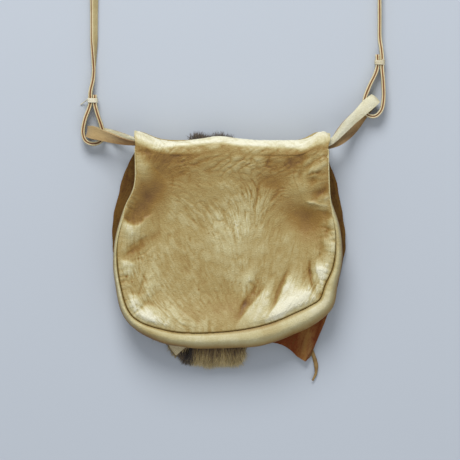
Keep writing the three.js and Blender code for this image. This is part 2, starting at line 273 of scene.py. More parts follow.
def sweep(path, section, twist):
    """section carried along path: its first number goes upwards and its second to the right."""
    tangent = unit(np.gradient(path, axis=0))
    right = unit(np.cross(tangent, [0.0, 0.0, 1.0]))
    up = np.cross(right, tangent)
    twist = np.broadcast_to(twist, len(path))[:, None]
    lean_up = up * np.cos(twist) + right * np.sin(twist)
    lean_right = right * np.cos(twist) - up * np.sin(twist)
    section = np.broadcast_to(section, (len(path),) + np.shape(section)[-2:])
    return (
        path[:, None]
        + lean_up[:, None] * section[..., :1]
        + lean_right[:, None] * section[..., 1:]
    )


def tube(grid):
    """Vertices and faces of a swept grid with closed ends."""
    rows, columns = grid.shape[:2]
    faces = grid_faces(rows, columns, flip=True, closed=True)
    faces.append(list(range(columns)))
    faces.append([(rows - 1) * columns + k for k in range(columns - 1, -1, -1)])
    return grid.reshape(-1, 3), faces


def ring(sides, radius):
    angle = np.arange(sides) * 2 * math.pi / sides
    return joined(radius * np.cos(angle), radius * np.sin(angle))


# Finishes


class Finish:
    """A Principled material, with short ways to add nodes to it."""

    def __init__(self, name, roughness, specular):
        self.material = bpy.data.materials.new(name)
        self.material.use_nodes = True
        self.tree = self.material.node_tree
        self.shader = self.tree.nodes["Principled BSDF"]
        self.set("Roughness", roughness)
        self.set("Specular IOR Level", specular)

    def set(self, socket, value):
        self.shader.inputs[socket].default_value = value

    def join(self, output, socket):
        self.tree.links.new(output, self.shader.inputs[socket])

    def node(self, kind, inputs=(), **settings):
        made = self.tree.nodes.new(kind)
        for key, value in settings.items():
            setattr(made, key, value)
        for key, value in dict(inputs).items():
            if isinstance(value, bpy.types.NodeSocket):
                self.tree.links.new(value, made.inputs[key])
            else:
                made.inputs[key].default_value = value
        return made

    def place(self):
        """Coordinates on the piece, in metres."""
        return self.node("ShaderNodeTexCoord").outputs["Object"]

    def noise(self, scale, detail, roughness=0.55):
        inputs = {"Vector": self.place(), "Scale": scale, "Detail": detail, "Roughness": roughness}
        return self.node("ShaderNodeTexNoise", inputs).outputs["Fac"]

    def cells(self, scale):
        inputs = {"Vector": self.place(), "Scale": scale}
        return self.node("ShaderNodeTexVoronoi", inputs).outputs["Distance"]

    def tone(self):
        return self.node("ShaderNodeAttribute", attribute_name="tone").outputs["Fac"]

    def math(self, operation, a, b):
        return self.node("ShaderNodeMath", {0: a, 1: b}, operation=operation).outputs[0]

    def varied(self, base, *changes):
        """base plus each (pattern, amount), with the pattern centred on zero."""
        total = base
        for pattern, amount in changes:
            centred = self.math("SUBTRACT", pattern, 0.5)
            total = self.math("ADD", total, self.math("MULTIPLY", centred, amount))
        return total

    def ramp(self, source, *stops):
        """A colour from (place, colour) stops."""
        made = self.node("ShaderNodeValToRGB", {"Fac": source})
        elements = made.color_ramp.elements
        while len(elements) < len(stops):
            elements.new(0.5)
        for element, (place, colour) in zip(elements, stops):
            element.position = place
            element.color = linear(colour)
        return made.outputs["Color"]

    def paint(self, changes, *stops):
        """Colour from the piece's tone, varied by (pattern, amount) changes."""
        self.join(self.ramp(self.varied(self.tone(), *changes), *stops), "Base Color")

    def spread(self, source, low, high):
        inputs = {"Value": source, "To Min": low, "To Max": high}
        return self.node("ShaderNodeMapRange", inputs).outputs["Result"]

    def bump(self, *layers):
        """Bump from (height pattern, depth in metres) layers."""
        normal = None
        for pattern, depth in layers:
            made = self.node("ShaderNodeBump", {"Height": pattern, "Distance": depth, "Strength": 1.0})
            if normal is not None:
                self.tree.links.new(normal, made.inputs["Normal"])
            normal = made.outputs["Normal"]
        self.join(normal, "Normal")


def linear(colour):
    """A colour in display values from 0 to 255 as linear light, with full opacity."""
    values = [value / 255 for value in colour]
    return (*[v / 12.92 if v <= 0.04045 else ((v + 0.055) / 1.055) ** 2.4 for v in values], 1)


# Colours of the flesh sides of body, hide and pelt, from their dark to their pale places
BODY_FLESH = [(0.0, (88, 62, 34)), (0.5, (132, 100, 60)), (1.0, (176, 150, 104))]
HIDE_FLESH = [
    (0.0, (36, 18, 2)), (0.3, (84, 52, 6)), (0.5, (104, 74, 22)), (0.75, (112, 48, 4)),
    (1.0, (150, 108, 54)),
]
PELT_FLESH = [(0.0, (70, 58, 40)), (0.5, (134, 118, 86)), (1.0, (246, 232, 190))]


def gold_leather():
    """Soft leather with a worn pale gold finish, coloured by each piece's tone: brown where the tone is
    painted darker as shade in hollows and creases, cream where it is painted paler as highlight on swells,
    folds and lit bands.
    """
    finish = Finish("gold_leather", roughness=0.46, specular=0.5)
    worn = finish.noise(160, 4, roughness=0.6)
    mottle = finish.noise(38, 3)
    grain = finish.cells(1150)
    finish.paint(
        [(mottle, 0.20), (worn, 0.22), (grain, 0.10)],
        (0.0, (98, 60, 8)),
        (0.28, (140, 106, 40)),
        (0.50, (164, 142, 85)),
        (0.74, (192, 181, 134)),
        (1.0, (226, 222, 196)),
    )
    finish.join(finish.spread(finish.math("ADD", worn, grain), 0.34, 0.62), "Roughness")
    finish.set("Coat Weight", 0.12)
    finish.set("Coat Roughness", 0.34)
    finish.bump((grain, 0.00022), (finish.noise(900, 3), 0.00018), (worn, 0.0005))
    return finish.material


def suede(name, stops):
    """The flesh side of a hide, with a short nap."""
    finish = Finish(name, roughness=0.9, specular=0.25)
    nap = finish.noise(700, 5, roughness=0.7)
    clouds = finish.noise(45, 3)
    finish.paint([(nap, 0.30), (clouds, 0.35)], *stops)
    finish.set("Sheen Weight", 0.25)
    finish.set("Sheen Roughness", 0.5)
    finish.bump((nap, 0.0006))
    return finish.material


def fur_finish():
    """Hair, from dark grey-brown to cream."""
    finish = Finish("fur", roughness=0.55, specular=0.35)
    streak = finish.noise(240, 2)
    finish.paint(
        [(streak, 0.16)],
        (0.0, (34, 25, 18)),
        (0.25, (80, 66, 52)),
        (0.5, (128, 106, 72)),
        (0.75, (178, 154, 98)),
        (1.0, (238, 218, 162)),
    )
    finish.set("Sheen Weight", 0.2)
    finish.set("Sheen Roughness", 0.35)
    return finish.material


def strap_finish():
    """The folded strap: pale gold skin with a rust core where the cut edges meet."""
    finish = Finish("strap_leather", roughness=0.5, specular=0.45)
    worn = finish.noise(300, 4, roughness=0.65)
    grain = finish.cells(1400)
    finish.paint(
        [(worn, 0.22), (grain, 0.08)],
        (0.0, (112, 58, 28)),
        (0.25, (140, 92, 52)),
        (0.45, (158, 136, 84)),
        (0.7, (192, 176, 128)),
        (1.0, (224, 212, 176)),
    )
    finish.join(finish.spread(worn, 0.4, 0.65), "Roughness")
    finish.bump((grain, 0.00015), (worn, 0.0003))
    return finish.material


def thread_finish():
    finish = Finish("waxed_thread", roughness=0.7, specular=0.3)
    ply = finish.noise(1500, 2)
    finish.paint([(ply, 0.5)], (0.0, (96, 76, 48)), (0.5, (196, 184, 150)), (1.0, (236, 230, 208)))
    finish.bump((ply, 0.0004))
    return finish.material


def thong_finish():
    finish = Finish("thong_leather", roughness=0.6, specular=0.4)
    worn = finish.noise(420, 4)
    finish.paint([(worn, 0.4)], (0.0, (70, 42, 14)), (0.5, (124, 92, 46)), (1.0, (168, 140, 88)))
    finish.bump((worn, 0.0004))
    return finish.material


def floor_finish():
    finish = Finish("floor", roughness=0.85, specular=0.2)
    finish.set("Base Color", linear(FLOOR_COLOUR))
    return finish.material


# Stage: camera, lamps and a plain pale floor


def make_camera():
    data = bpy.data.cameras.new("camera")
    data.sensor_width = SENSOR
    data.lens = SENSOR * (CAMERA_HEIGHT - FRAME_LEVEL) / FRAME_WIDTH
    data.clip_end = 20
    camera = bpy.data.objects.new("camera", data)
    camera.location = (CAMERA_X, CAMERA_Y, CAMERA_HEIGHT)
    bpy.context.scene.collection.objects.link(camera)
    bpy.context.scene.camera = camera


def make_lamp(name, place, size, power):
    """A round soft lamp that faces the pouch."""
    data = bpy.data.lights.new(name, "AREA")
    data.shape = "DISK"
    data.size = size
    data.energy = power
    lamp = bpy.data.objects.new(name, data)
    lamp.location = place
    lamp.rotation_mode = "QUATERNION"
    lamp.rotation_quaternion = (Vector(place) - Vector(LAMP_TARGET)).to_track_quat("Z", "Y")
    bpy.context.scene.collection.objects.link(lamp)


def make_stage():
    mesh = bpy.data.meshes.new("floor")
    corners = [(FLOOR_HALF * x, FLOOR_HALF * y, 0) for x, y in ((-1, -1), (1, -1), (1, 1), (-1, 1))]
    mesh.from_pydata(corners, [], [(0, 1, 2, 3)])
    mesh.materials.append(floor_finish())
    floor = bpy.data.objects.new("floor", mesh)
    bpy.context.scene.collection.objects.link(floor)
    for lamp in LAMPS:
        make_lamp(*lamp)
    world = bpy.data.worlds.new("studio")
    world.use_nodes = True
    light = world.node_tree.nodes["Background"]
    light.inputs["Color"].default_value = SKY_COLOUR
    light.inputs["Strength"].default_value = SKY_STRENGTH
    bpy.context.scene.world = world
    bpy.context.scene.view_settings.view_transform = "Standard"


# Strap: one folded leather strip, from its left free end round both tabs to its right free end

LEFT_ROUTE = [
    (-0.0999, 0.1085, 0.0046), (-0.0999, 0.1016, 0.0046), (-0.0981, 0.0945, 0.0053),
    (-0.0949, 0.085, 0.006), (-0.0934, 0.0783, 0.006), (-0.0958, 0.0736, 0.006),
    (-0.1015, 0.0719, 0.006), (-0.1068, 0.0742, 0.006), (-0.1088, 0.080, 0.006),
    (-0.1073, 0.090, 0.0055), (-0.1046, 0.0975, 0.0049), (-0.1033, 0.102, 0.0046),
    (-0.1033, 0.110, 0.0045), (-0.1014, 0.120, 0.0035), (-0.1008, 0.132, 0.0032),
    (-0.1006, 0.160, 0.0032), (-0.1006, 0.200, 0.0032), (-0.1006, 0.232, 0.0032),
    (-0.0986, 0.254, 0.0032), (-0.090, 0.270, 0.0032), (-0.075, 0.2774, 0.0032),
    (-0.050, 0.2786, 0.0032), (-0.0115, 0.2785, 0.0032),
]
RIGHT_ROUTE = [
    (0.1106, 0.1385, 0.0046), (0.1106, 0.1298, 0.0046), (0.1092, 0.1245, 0.0048),
    (0.1046, 0.115, 0.0054), (0.1009, 0.105, 0.006), (0.1006, 0.098, 0.006),
    (0.1032, 0.0934, 0.006), (0.1086, 0.0924, 0.006), (0.1132, 0.0966, 0.006),
    (0.115, 0.105, 0.006), (0.1149, 0.117, 0.0054), (0.114, 0.129, 0.0047), (0.114, 0.137, 0.0046),
    (0.1134, 0.143, 0.0042), (0.1124, 0.150, 0.0033), (0.1123, 0.165, 0.0032),
    (0.1123, 0.205, 0.0032), (0.1122, 0.236, 0.0032), (0.1096, 0.257, 0.0032),
    (0.100, 0.2715, 0.0032), (0.084, 0.2784, 0.0032), (0.052, 0.2788, 0.0034),
    (0.036, 0.2788, 0.0056), (0.029, 0.2788, 0.0076), (0.0235, 0.2794, 0.0093),
]
# The last of the strap lifts off the coil's inner turn and passes over the others
OVER_COIL = [
    (-0.0195, 0.3060, 0.0036), (-0.0120, 0.2965, 0.0052), (-0.0020, 0.2905, 0.0074),
    (0.0080, 0.2858, 0.0095), (0.0165, 0.2820, 0.0098),
]
COIL_CENTRE = (0.006, 0.318)
COIL_RADIUS = 0.0395
COIL_PITCH = 0.004
COIL_TURNS = 2.72
COIL_STEPS = 16
COIL_LEVEL = 0.0032
STRAP_LENGTH = 1.32
STRAP_STEPS = 820
# Lean of the strap's section from upright, at shares of its length
STRAP_LEAN = [
    (0.0, 0.0), (0.068, 0.0), (0.078, 0.10), (0.096, -0.75), (0.14, -0.9), (0.17, -0.3),
    (0.20, 0.0), (0.80, 0.0), (0.85, 0.25), (0.9, 0.0), (1.0, 0.0),
]


def strap_path():
    turn = np.linspace(0, COIL_TURNS, int(COIL_TURNS * COIL_STEPS) + 1)
    angle = (turn - 0.25) * 2 * math.pi
    radius = COIL_RADIUS - COIL_PITCH * turn
    middle_x, middle_y = COIL_CENTRE
    coil = joined(middle_x + radius * np.cos(angle), middle_y + radius * np.sin(angle), COIL_LEVEL)
    points = np.concatenate([LEFT_ROUTE, coil[1:], OVER_COIL, RIGHT_ROUTE[::-1]])
    return through(points, STRAP_STEPS)


def strap_section():
    """Outline of two layers of leather with a groove where their cut edges meet, and its tones."""
    high, side, lip = STRAP_WIDTH / 2, STRAP_THICKNESS / 2, 0.0007
    # Rounded edges are paler than the faces as painted highlight; the low tone at the lip is the rust core
    # where the cut edges meet
    quarter = [
        (high * 0.30, side * 1.04, 0.62),
        (high * 0.84, side, 0.72),
        (high * 0.985, side * 0.74, 0.95),
        (high * 0.97, side * 0.47, 0.80),
        (high - lip, side * 0.24, 0.10),
    ]
    upper = quarter + [(a, -b, t) for a, b, t in reversed(quarter)]
    lower = [(-a, b, t) for a, b, t in reversed(upper)]
    whole = np.array(upper + lower)
    return whole[:, :2], whole[:, 2]


def make_strap(finish):
    path = strap_path()
    share = np.linspace(0, 1, len(path))
    places, leans = zip(*STRAP_LEAN)
    lean = np.interp(share, places, leans)
    section, tones = strap_section()
    run = share * STRAP_LENGTH
    wide = 1 + 0.05 * noise(run / 0.012, 0.5, 31)
    thick = 1 + 0.08 * noise(run / 0.006, 0.5, 32)
    vertices, faces = tube(sweep(path, section[None] * joined(wide, thick)[:, None], lean))
    wear = 0.16 * fractal(run / 0.02, 0.5, 33)[:, None]
    strap = make_piece("strap", vertices, faces, [finish], "pouch", tones[None] + wear)
    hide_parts("strap_left", "strap_coil", "strap_right")
    return strap, path


# Bindings: name, CAD node, centre, length along the strap, turns, tone
BINDINGS = [
    ("left_binding", "left_strap_thread", (-0.1016, 0.1042, 0.0046), 0.0037, 3.6, 0.85),
    ("right_binding", "right_strap_thread", (0.1123, 0.1328, 0.0046), 0.0044, 4.2, 0.62),
]
WOUND_HALF_X, WOUND_HALF_Z = 0.00355, 0.00350
# The smaller, the closer a turn comes to a box, with 1 for an ellipse
WOUND_SQUARENESS = 0.62
WOUND_STEPS = 28
THREAD_RADIUS, THREAD_END_RADIUS = 0.00048, 0.00038
THREAD_END = [
    (-0.1050, 0.1052, 0.0070), (-0.1062, 0.1046, 0.0052), (-0.1078, 0.1034, 0.0026),
    (-0.1096, 0.1022, 0.0010), (-0.1108, 0.1014, 0.0008),
]


def winding(centre, length, turns):
    """Path of a thread wound round the two strands, as a rounded box helix."""
    angle = np.linspace(0, turns * 2 * math.pi, int(turns * WOUND_STEPS) + 1)
    across, up = np.cos(angle), np.sin(angle)
    x = WOUND_HALF_X * np.sign(across) * np.abs(across) ** WOUND_SQUARENESS
    z = WOUND_HALF_Z * np.sign(up) * np.abs(up) ** WOUND_SQUARENESS
    y = np.linspace(-length / 2 + THREAD_RADIUS, length / 2 - THREAD_RADIUS, len(angle))
    return np.array(centre) + joined(x, y, z)


def thread_piece(name, path, radius, finish, tone, uneven):
    """A round thread along a path that may turn in any direction."""
    tangent = unit(np.gradient(path, axis=0))
    side = unit(np.cross(tangent, [0.0, 1.0, 0.02]))
    other = np.cross(side, tangent)
    circle = ring(7, radius)
    grid = path[:, None] + side[:, None] * circle[:, :1] + other[:, None] * circle[:, 1:]
    vertices, faces = tube(grid)
    tones = tone + uneven * noise(np.arange(len(vertices)) / 60, 0.5, 41)
    return make_piece(name, vertices, faces, [finish], "pouch", tones)


def make_threads(finish):
    pieces = []
    for name, node, centre, length, turns, tone in BINDINGS:
        path = winding(centre, length, turns)
        piece = thread_piece(name, path, THREAD_RADIUS, finish, tone, uneven=0.2)
        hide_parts(node)
        pieces.append(piece)
    tail = through(THREAD_END, 24)
    end = thread_piece("left_binding_tail", tail, THREAD_END_RADIUS, finish, 0.8, uneven=0.0)
    return [*pieces, end]


# Body: seam, back panel with its roll, gusset and front panel

# Stations of the seam, from the top left down and round to the top right: x and y in shares of
# the half width and half height, then the gusset's puff in shares of GUSSET_PUFF
SIDE_STATIONS = [
    (-0.804, 0.50, 0.17), (-0.894, 0.275, 0.18), (-0.971, -0.038, 0.19), (-0.947, -0.40, 0.35),
    (-0.841, -0.70, 0.50), (-0.529, -0.835, 0.85), (-0.105, -0.851, 0.96), (0.306, -0.783, 1.20),
    (0.640, -0.640, 1.14), (0.776, -0.560, 0.98), (0.797, -0.536, 0.92), (0.842, -0.400, 0.76),
    (0.906, -0.245, 0.54), (0.929, 0.05, 0.32), (0.859, 0.425, 0.19),
]
LEFT_TOP, RIGHT_TOP = -0.795 * HALF_WIDTH, 0.841 * HALF_WIDTH
TOP_PUFF = 0.17
# How far the front's top edge lies below the back's
MOUTH_DEPTH = 0.012
# Share of the gusset's puff that the back covers where it hides the gusset
GUSSET_COVER = 0.85
# Lower corners of the panels, as shares of the seam's stations
LEFT_CORNER, RIGHT_CORNER = 5 / 16, 10.5 / 16
# Rises of the roll: centre, height and spread
ROLL_RISES = [(-0.0697, 0.007, 0.014), (-0.0069, 0.003, 0.015), (0.0672, 0.0063, 0.0095)]
# How far the roll passes the panel's top corners, to the right
ROLL_OVERHANGS = (-0.0008, 0.0018)

PANEL_COLUMNS, PANEL_ROWS, ROLL_ROWS = 317, 196, 48
GUSSET_COLUMNS, GUSSET_ROWS = 481, 33
FRONT_COLUMNS, FRONT_ROWS = 61, 41
# Points that are compared with a line at one time
CHUNK = 4000

# Relief of the back. The empty pouch sags between its seams, and its leather dents and swells.
SAG = 0.0046
SAG_REACH = 0.030
# The tables from here to ROLL_BAND are in millimetres, and their changes of tone in shares of 1
MM = 0.001

# Each swell: x, y, spread along and across, direction in degrees, height, change of tone, which follows the
# height: painted shade in dents, painted highlight on swells
SWELLS = [
    # left side, from the top down
    (-61, 29, 16, 9, 51, -2.6, -0.31),
    (-54, 13, 9, 7, 0, -0.2, -0.10),
    (-71, 19, 6, 5, 30, -1, -0.18),
    (-64, 54, 10, 8, -45, 1.7, 0.38),
    (-73, 7, 6.5, 5, -30, 1.7, 0.22),
    (-76, -18.5, 6, 4, 0, 1.6, 0.24),
    (-59, -35, 4.5, 9, -15, 0.9, 0.16),
    (-69.3, -46.5, 5.6, 4.6, -40, 1.9, 0.36),
    (-59, -56.5, 9, 5.4, -22, 2.1, 0.44),
    (-46.5, -56.5, 5.5, 8, 0, 0.9, 0.10),
    (-34, -58.5, 9, 6.5, 0, 0.8, 0.06),
    (-45, 54, 24, 9, 4, -0.6, -0.14),
    # middle
    (0, 7, 20, 13, 20, 0.9, 0.09),
    (2, -12, 16, 12, 60, 0.6, 0.12),
    (-3, -42, 13, 16, 0, -0.9, -0.08),
    (-24, -20, 14, 9, -50, -0.5, -0.05),
    # right side, from the top down
    (64, 53, 8, 4.2, 35, 1.5, 0.18),
    (61, 44.5, 3.6, 2.6, 20, -1.1, -0.26),
    (66.5, 35.7, 6.5, 3.6, 25, -1.9, -0.42),
    (72, 31.5, 4.6, 2.6, 0, 0.9, 0.16),
    (50, 39, 6.5, 6.5, 0, 0.8, 0.13),
    (33, 41, 12, 12, 0, -0.8, -0.14),
    (20, 43, 12, 9, 0, -0.3, -0.15),
    (57, 15, 15, 10, -30, -3, -0.36),
    (60, 32, 10, 6, 10, 0.3, 0.10),
    (73, 19.5, 4, 4, 0, -1.1, -0.22),
    (69.5, -21, 3.6, 5.4, -25, 1.9, 0.42),
    (52, -43.5, 13.5, 7, 27, 2.6, 0.46),
    (62, -30, 3.5, 6, -20, 0.5, 0.10),
    (46, -32, 5, 8, -20, 0.9, 0.16),
    (33, -54.5, 13, 6, 17, 2, 0.38),
    (26, -44, 3.4, 12, -26, 1.2, 0.22),
    (15, -27, 3.6, 9, -25, 1, 0.20),
]
# Each fold: line of its crest or valley, width, height, change of tone, which follows the height: painted
# shade in valleys, painted highlight on crests
FOLDS = [
    ([(-70.5, 65.8), (-64, 66.6), (-59, 64.6), (-54, 62.4)], 1.5, -1, -0.22),
    ([(-72, 66), (-60, 61.4), (-52, 60.6), (-40, 62.6), (-22, 65.6)], 3.6, -0.6, -0.26),
    ([(-82, -15.6), (-71.9, -9), (-65.3, -3.6), (-58, 1.5), (-48, 8)], 2.8, -1.2, -0.34),
    ([(-78, -9.5), (-70, -3.5), (-62, 1), (-55, 6.5)], 1.2, -0.6, -0.16),
    ([(-72, -14.5), (-65, -9.5), (-58, -5), (-52, 1)], 1.1, -0.6, -0.16),
    ([(-75.5, -18.4), (-69, -14.5), (-63, -11.2)], 0.8, -0.8, -0.22),
    ([(-71.5, -55.2), (-66, -51.5), (-60, -48.2)], 0.8, -1, -0.26),
    ([(-67.6, -43), (-65.3, -35.6), (-63.3, -29), (-62.4, -21.6)], 0.9, -0.8, -0.22),
    ([(-78, -27), (-73.5, -31), (-69.5, -35.5)], 0.9, -0.5, -0.16),
    ([(18, 61), (34, 57.6), (44.6, 56.2), (56.5, 60.6), (68, 63.4)], 4.6, -1.4, -0.24),
    ([(57, 47.5), (62, 50), (69, 50.2)], 0.9, -1, -0.30),
    ([(54, 30.8), (62, 28.6), (68, 26.4), (76, 24.4)], 1.2, 1.7, 0.38),
    ([(66.6, 7), (67.4, -3), (66.6, -10), (64, -17)], 2.6, -1.3, -0.20),
    ([(58, -10), (61, -22), (63.2, -33), (67.4, -45.5)], 2.6, -2.2, -0.46),
    ([(73, -27), (70.4, -33.5), (66.4, -45)], 1.3, -1.4, -0.42),
    ([(24, -18), (18, -34), (12.5, -46), (4, -60)], 2, -1.1, -0.34),
    ([(46, -12), (40.5, -29), (35, -41), (27, -57)], 1.6, -0.9, -0.26),
    ([(25, -22), (22.5, -31), (22, -40)], 1.1, -0.6, -0.16),
    ([(56, -20), (54.5, -28), (57, -37)], 1.1, -0.7, -0.18),
]
# Each step: line that has its high side on its right, sharpness, fall on the low side and on the
# high side, height, change of tone, which is painted highlight on the high side and painted shade on the low
# side
STEPS = [
    (
        [(-81, 22), (-77, 15.6), (-73.3, 12.4), (-68, 11.9), (-63, 14.6), (-58, 18.6), (-54, 21.6)],
        0.9, 6, 3, 2, 0.26,
    ),
    ([(-82, -15.2), (-76, -15), (-72, -16.5), (-68, -19.5)], 0.6, 3, 3, 1.1, 0.20),
    ([(-75.5, -40.8), (-69, -40.6), (-64, -43.5)], 0.6, 3, 3, 0.9, 0.16),
    ([(62, 23), (70, 22), (76, 21.5)], 0.9, 4, 2.5, -0.9, -0.16),
    ([(2, -66), (9, -57), (15, -49), (22, -40), (27, -33), (30, -27)], 0.7, 4, 8, 1.2, 0.34),
    ([(24, -64), (30, -55), (35, -45), (39.5, -37), (43, -29), (48, -20)], 0.7, 3.5, 10, 1, 0.32),
    ([(60, -14), (61, -24), (62, -31), (65.8, -42)], 0.7, 7, 3, -1.3, -0.40),
    ([(66.5, -43), (68.5, -36), (66, -28), (64.5, -16), (66, -10)], 0.7, 3, 6, 1, 0.22),
    ([(-74, -44), (-66, -50.5), (-58, -48), (-50, -50)], 0.8, 4, 6, 1, 0.20),
    ([(-20, -66), (-27, -57), (-36, -50)], 0.8, 5, 5, -0.8, -0.14),
]
# Dark specks: x, y, size
SPECKS = [(-75.6, -26.6, 0.7), (-71.5, -30.5, 0.5), (-15, 5.5, 0.4), (-22.5, -36.5, 0.5), (2, -31, 0.4)]

# Heights of the fine relief in metres, and how strongly the leather fans and crumples
WRINKLE_HEIGHT = 0.00046
FAN, CRUMPLE = 0.84, 0.68
PUCKER_HEIGHT, GUSSET_PUCKER_HEIGHT = 0.00036, 0.00030
PUCKER_REACH, GUSSET_PUCKER_REACH = 0.0085, 0.0045
SEAM_FOLD, SEAM_FOLD_SPREAD = 0.0015, 0.0007
# How far the roll is pressed in behind its lit band
ROLL_PRESS = 0.0032

# Fine creases run between points where the leather is drawn in: place, pull and direction in
# which nothing runs off, in degrees
DRAWN = [(-64, 40, 1.5, 150), (62, 20, 0.7, 20), (8, -72, -1.8, -90)]
CREASE_SCALES = (2.5, 5.0, 10.0, 20.0, 40.0)
CREASE_SPACING = 1.7

# Width of the roll's lit band at places across it
ROLL_BAND = [
    (-70, 11.5), (-57, 11.0), (-50, 8.4), (-43, 6.0), (-35, 4.7), (-24, 4.6), (-10, 5.8), (6, 6.4),
    (25, 6.2), (40, 6.2), (52, 7.2), (60, 9.0), (67, 11.0), (73, 11.5),
]


def roll_edge(x):
    return FOLD_BASE + sum(rise * bell(x - at, spread) for at, rise, spread in ROLL_RISES)


def fold_line(x):
    return roll_edge(x) - ROLL_RADIUS


def make_seam():
    start = (LEFT_TOP, fold_line(LEFT_TOP) - GAP, TOP_PUFF * GUSSET_PUFF)
    end = (RIGHT_TOP, fold_line(RIGHT_TOP) - GAP, TOP_PUFF * GUSSET_PUFF)
    return np.array([start, *np.array(SIDE_STATIONS) * (HALF_WIDTH, HALF_HEIGHT, GUSSET_PUFF), end])


SEAM_LINE = spline(make_seam(), np.linspace(0, 1, 1200))
SEAM_PLAN = SEAM_LINE[:, :2]


def seam_height(y):
    rise = smooth(y, 0.1 * HALF_HEIGHT, FOLD_BASE - ROLL_RADIUS)
    return BACK_SEAM_HEIGHT + (ROLL_TOP - BACK_SEAM_HEIGHT) * rise


def outward(line):
    """Plan normals of a line that runs with the body on its left."""
    tangent = unit(np.gradient(line[:, :2], axis=0))
    return joined(tangent[:, 1], -tangent[:, 0])


SEAM_OUTWARD = outward(SEAM_LINE)


def over_gusset(line):
    """How far the back lies over the gusset, which it hides at the pouch's upper sides."""
    x, y = line[:, 0], line[:, 1]
    hidden = np.where(x < 0, smooth(y, 0.008, 0.030), smooth(y, 0.004, 0.050))
    return (GUSSET_COVER * hidden * line[:, 2])[:, None]


def panel_edge(places, cover=False):
    """Points just inside the seam in plan, or over the gusset where the back covers it."""
    index = np.asarray(places, float) * (len(SEAM_LINE) - 1)
    low = np.minimum(index.astype(int), len(SEAM_LINE) - 2)
    share = (index - low)[..., None]
    reach = over_gusset(SEAM_LINE) if cover else 0
    inside = SEAM_PLAN + SEAM_OUTWARD * (reach - GAP)
    return lerp(inside[low], inside[low + 1], share)


def coons(left, right, bottom, top, u, v):
    """A patch between four edge lines, with a point of left and right for each v, and of the others
    for each u.
    """
    u, v = u[None, :, None], v[:, None, None]
    sides = lerp(left[:, None], right[:, None], u)
    ends = lerp(bottom[None], top[None], v)
    corners = lerp(lerp(bottom[0], bottom[-1], u), lerp(top[0], top[-1], u), v)
    return sides + ends - corners


def nearest(points, line):
    """Number of the point of a line that is nearest in plan to each point."""
    flat = points.reshape(-1, 2)
    found = np.empty(len(flat), int)
    for start in range(0, len(flat), CHUNK):
        part = slice(start, start + CHUNK)
        found[part] = ((flat[part, None] - line[None]) ** 2).sum(-1).argmin(1)
    return found.reshape(points.shape[:-1])


def distance(points, line):
    """Distance in plan from each point to a line."""
    return np.linalg.norm(points - line[nearest(points, line)], axis=-1)


def crossing(points, line):
    """Signed distance in plan from each point to a line, its right side positive, and the share of
    the line's run.
    """
    flat = points.reshape(-1, 2)
    start, step = line[:-1], np.diff(line, axis=0)
    gap = flat[:, None] - start[None]
    share = np.clip((gap * step).sum(-1) / (step**2).sum(1), 0, 1)
    off = gap - share[..., None] * step
    length = np.sqrt((off**2).sum(-1))
    pick = length.argmin(1)
    at = np.arange(len(flat))
    side = step[pick, 1] * off[at, pick, 0] - step[pick, 0] * off[at, pick, 1]
    shape = points.shape[:-1]
    signed = length[at, pick] * np.where(side < 0, -1, 1)
    return signed.reshape(shape), ((pick + share[at, pick]) / len(step)).reshape(shape)


def tapered(run):
    return smooth(run, 0, 0.36) * smooth(1 - run, 0, 0.36)


def relief(plan):
    """Height of the dents, swells, folds and steps of the back, and the tone that goes with them: painted
    shade where they sink, painted highlight where they rise, and dark specks.
    """
    x, y = plan[..., 0] / MM, plan[..., 1] / MM
    x = x + 1.3 * noise(x / 9, y / 9, 91) + 0.5 * noise(x / 3.5, y / 3.5, 92)
    y = y + 1.3 * noise(x / 9, y / 9, 93) + 0.5 * noise(x / 3.5, y / 3.5, 94)
    points = joined(x, y)
    height, tone = np.zeros_like(x), np.zeros_like(x)
    for at_x, at_y, along, across, turn, rise, shade in SWELLS:
        c, s = math.cos(math.radians(turn)), math.sin(math.radians(turn))
        dx, dy = x - at_x, y - at_y
        swell = bell(dx * c + dy * s, along) * bell(dy * c - dx * s, across)
        height += rise * swell
        tone += shade * swell
    for line, width, rise, shade in FOLDS:
        off, run = crossing(points, through(line, 40))
        uneven = 1 + 0.35 * noise(run * 5, width * 7, 96)
        strength = tapered(run) * (0.8 + 0.3 * noise(run * 7, width * 9, 97))
        height += rise * np.exp(-(np.abs(off / (width * uneven)) ** 1.4)) * strength
        tone += shade * bell(off, 0.8 * width * uneven) * strength
    for line, sharp, low, high, rise, shade in STEPS:
        off, run = crossing(points, through(line, 40))
        fall = np.where(off > 0, np.exp(-off / high), np.exp(off / low))
        step = np.tanh(off / sharp) * fall * tapered(run)
        height += 0.5 * rise * step
        tone += shade * step
    for at_x, at_y, size in SPECKS:
        tone -= 0.6 * bell(np.hypot(plan[..., 0] / MM - at_x, plan[..., 1] / MM - at_y), size)
    return height * MM, tone


def drawn_lines(x, y):
    """Coordinates across and along the lines of pull, and how fast both grow."""
    place = x / MM + 1j * y / MM
    across, along, pull = 0.0, 0.0, 0.0
    for at_x, at_y, strength, idle in DRAWN:
        gap = place - (at_x + 1j * at_y)
        turned = gap * np.exp(-1j * (math.radians(idle) - math.pi))
        across = across + strength * np.angle(turned)
        along = along + strength * np.log(np.abs(gap) + 0.5)
        pull = pull + strength / (gap + 0.001)
    return across, along, np.abs(pull)


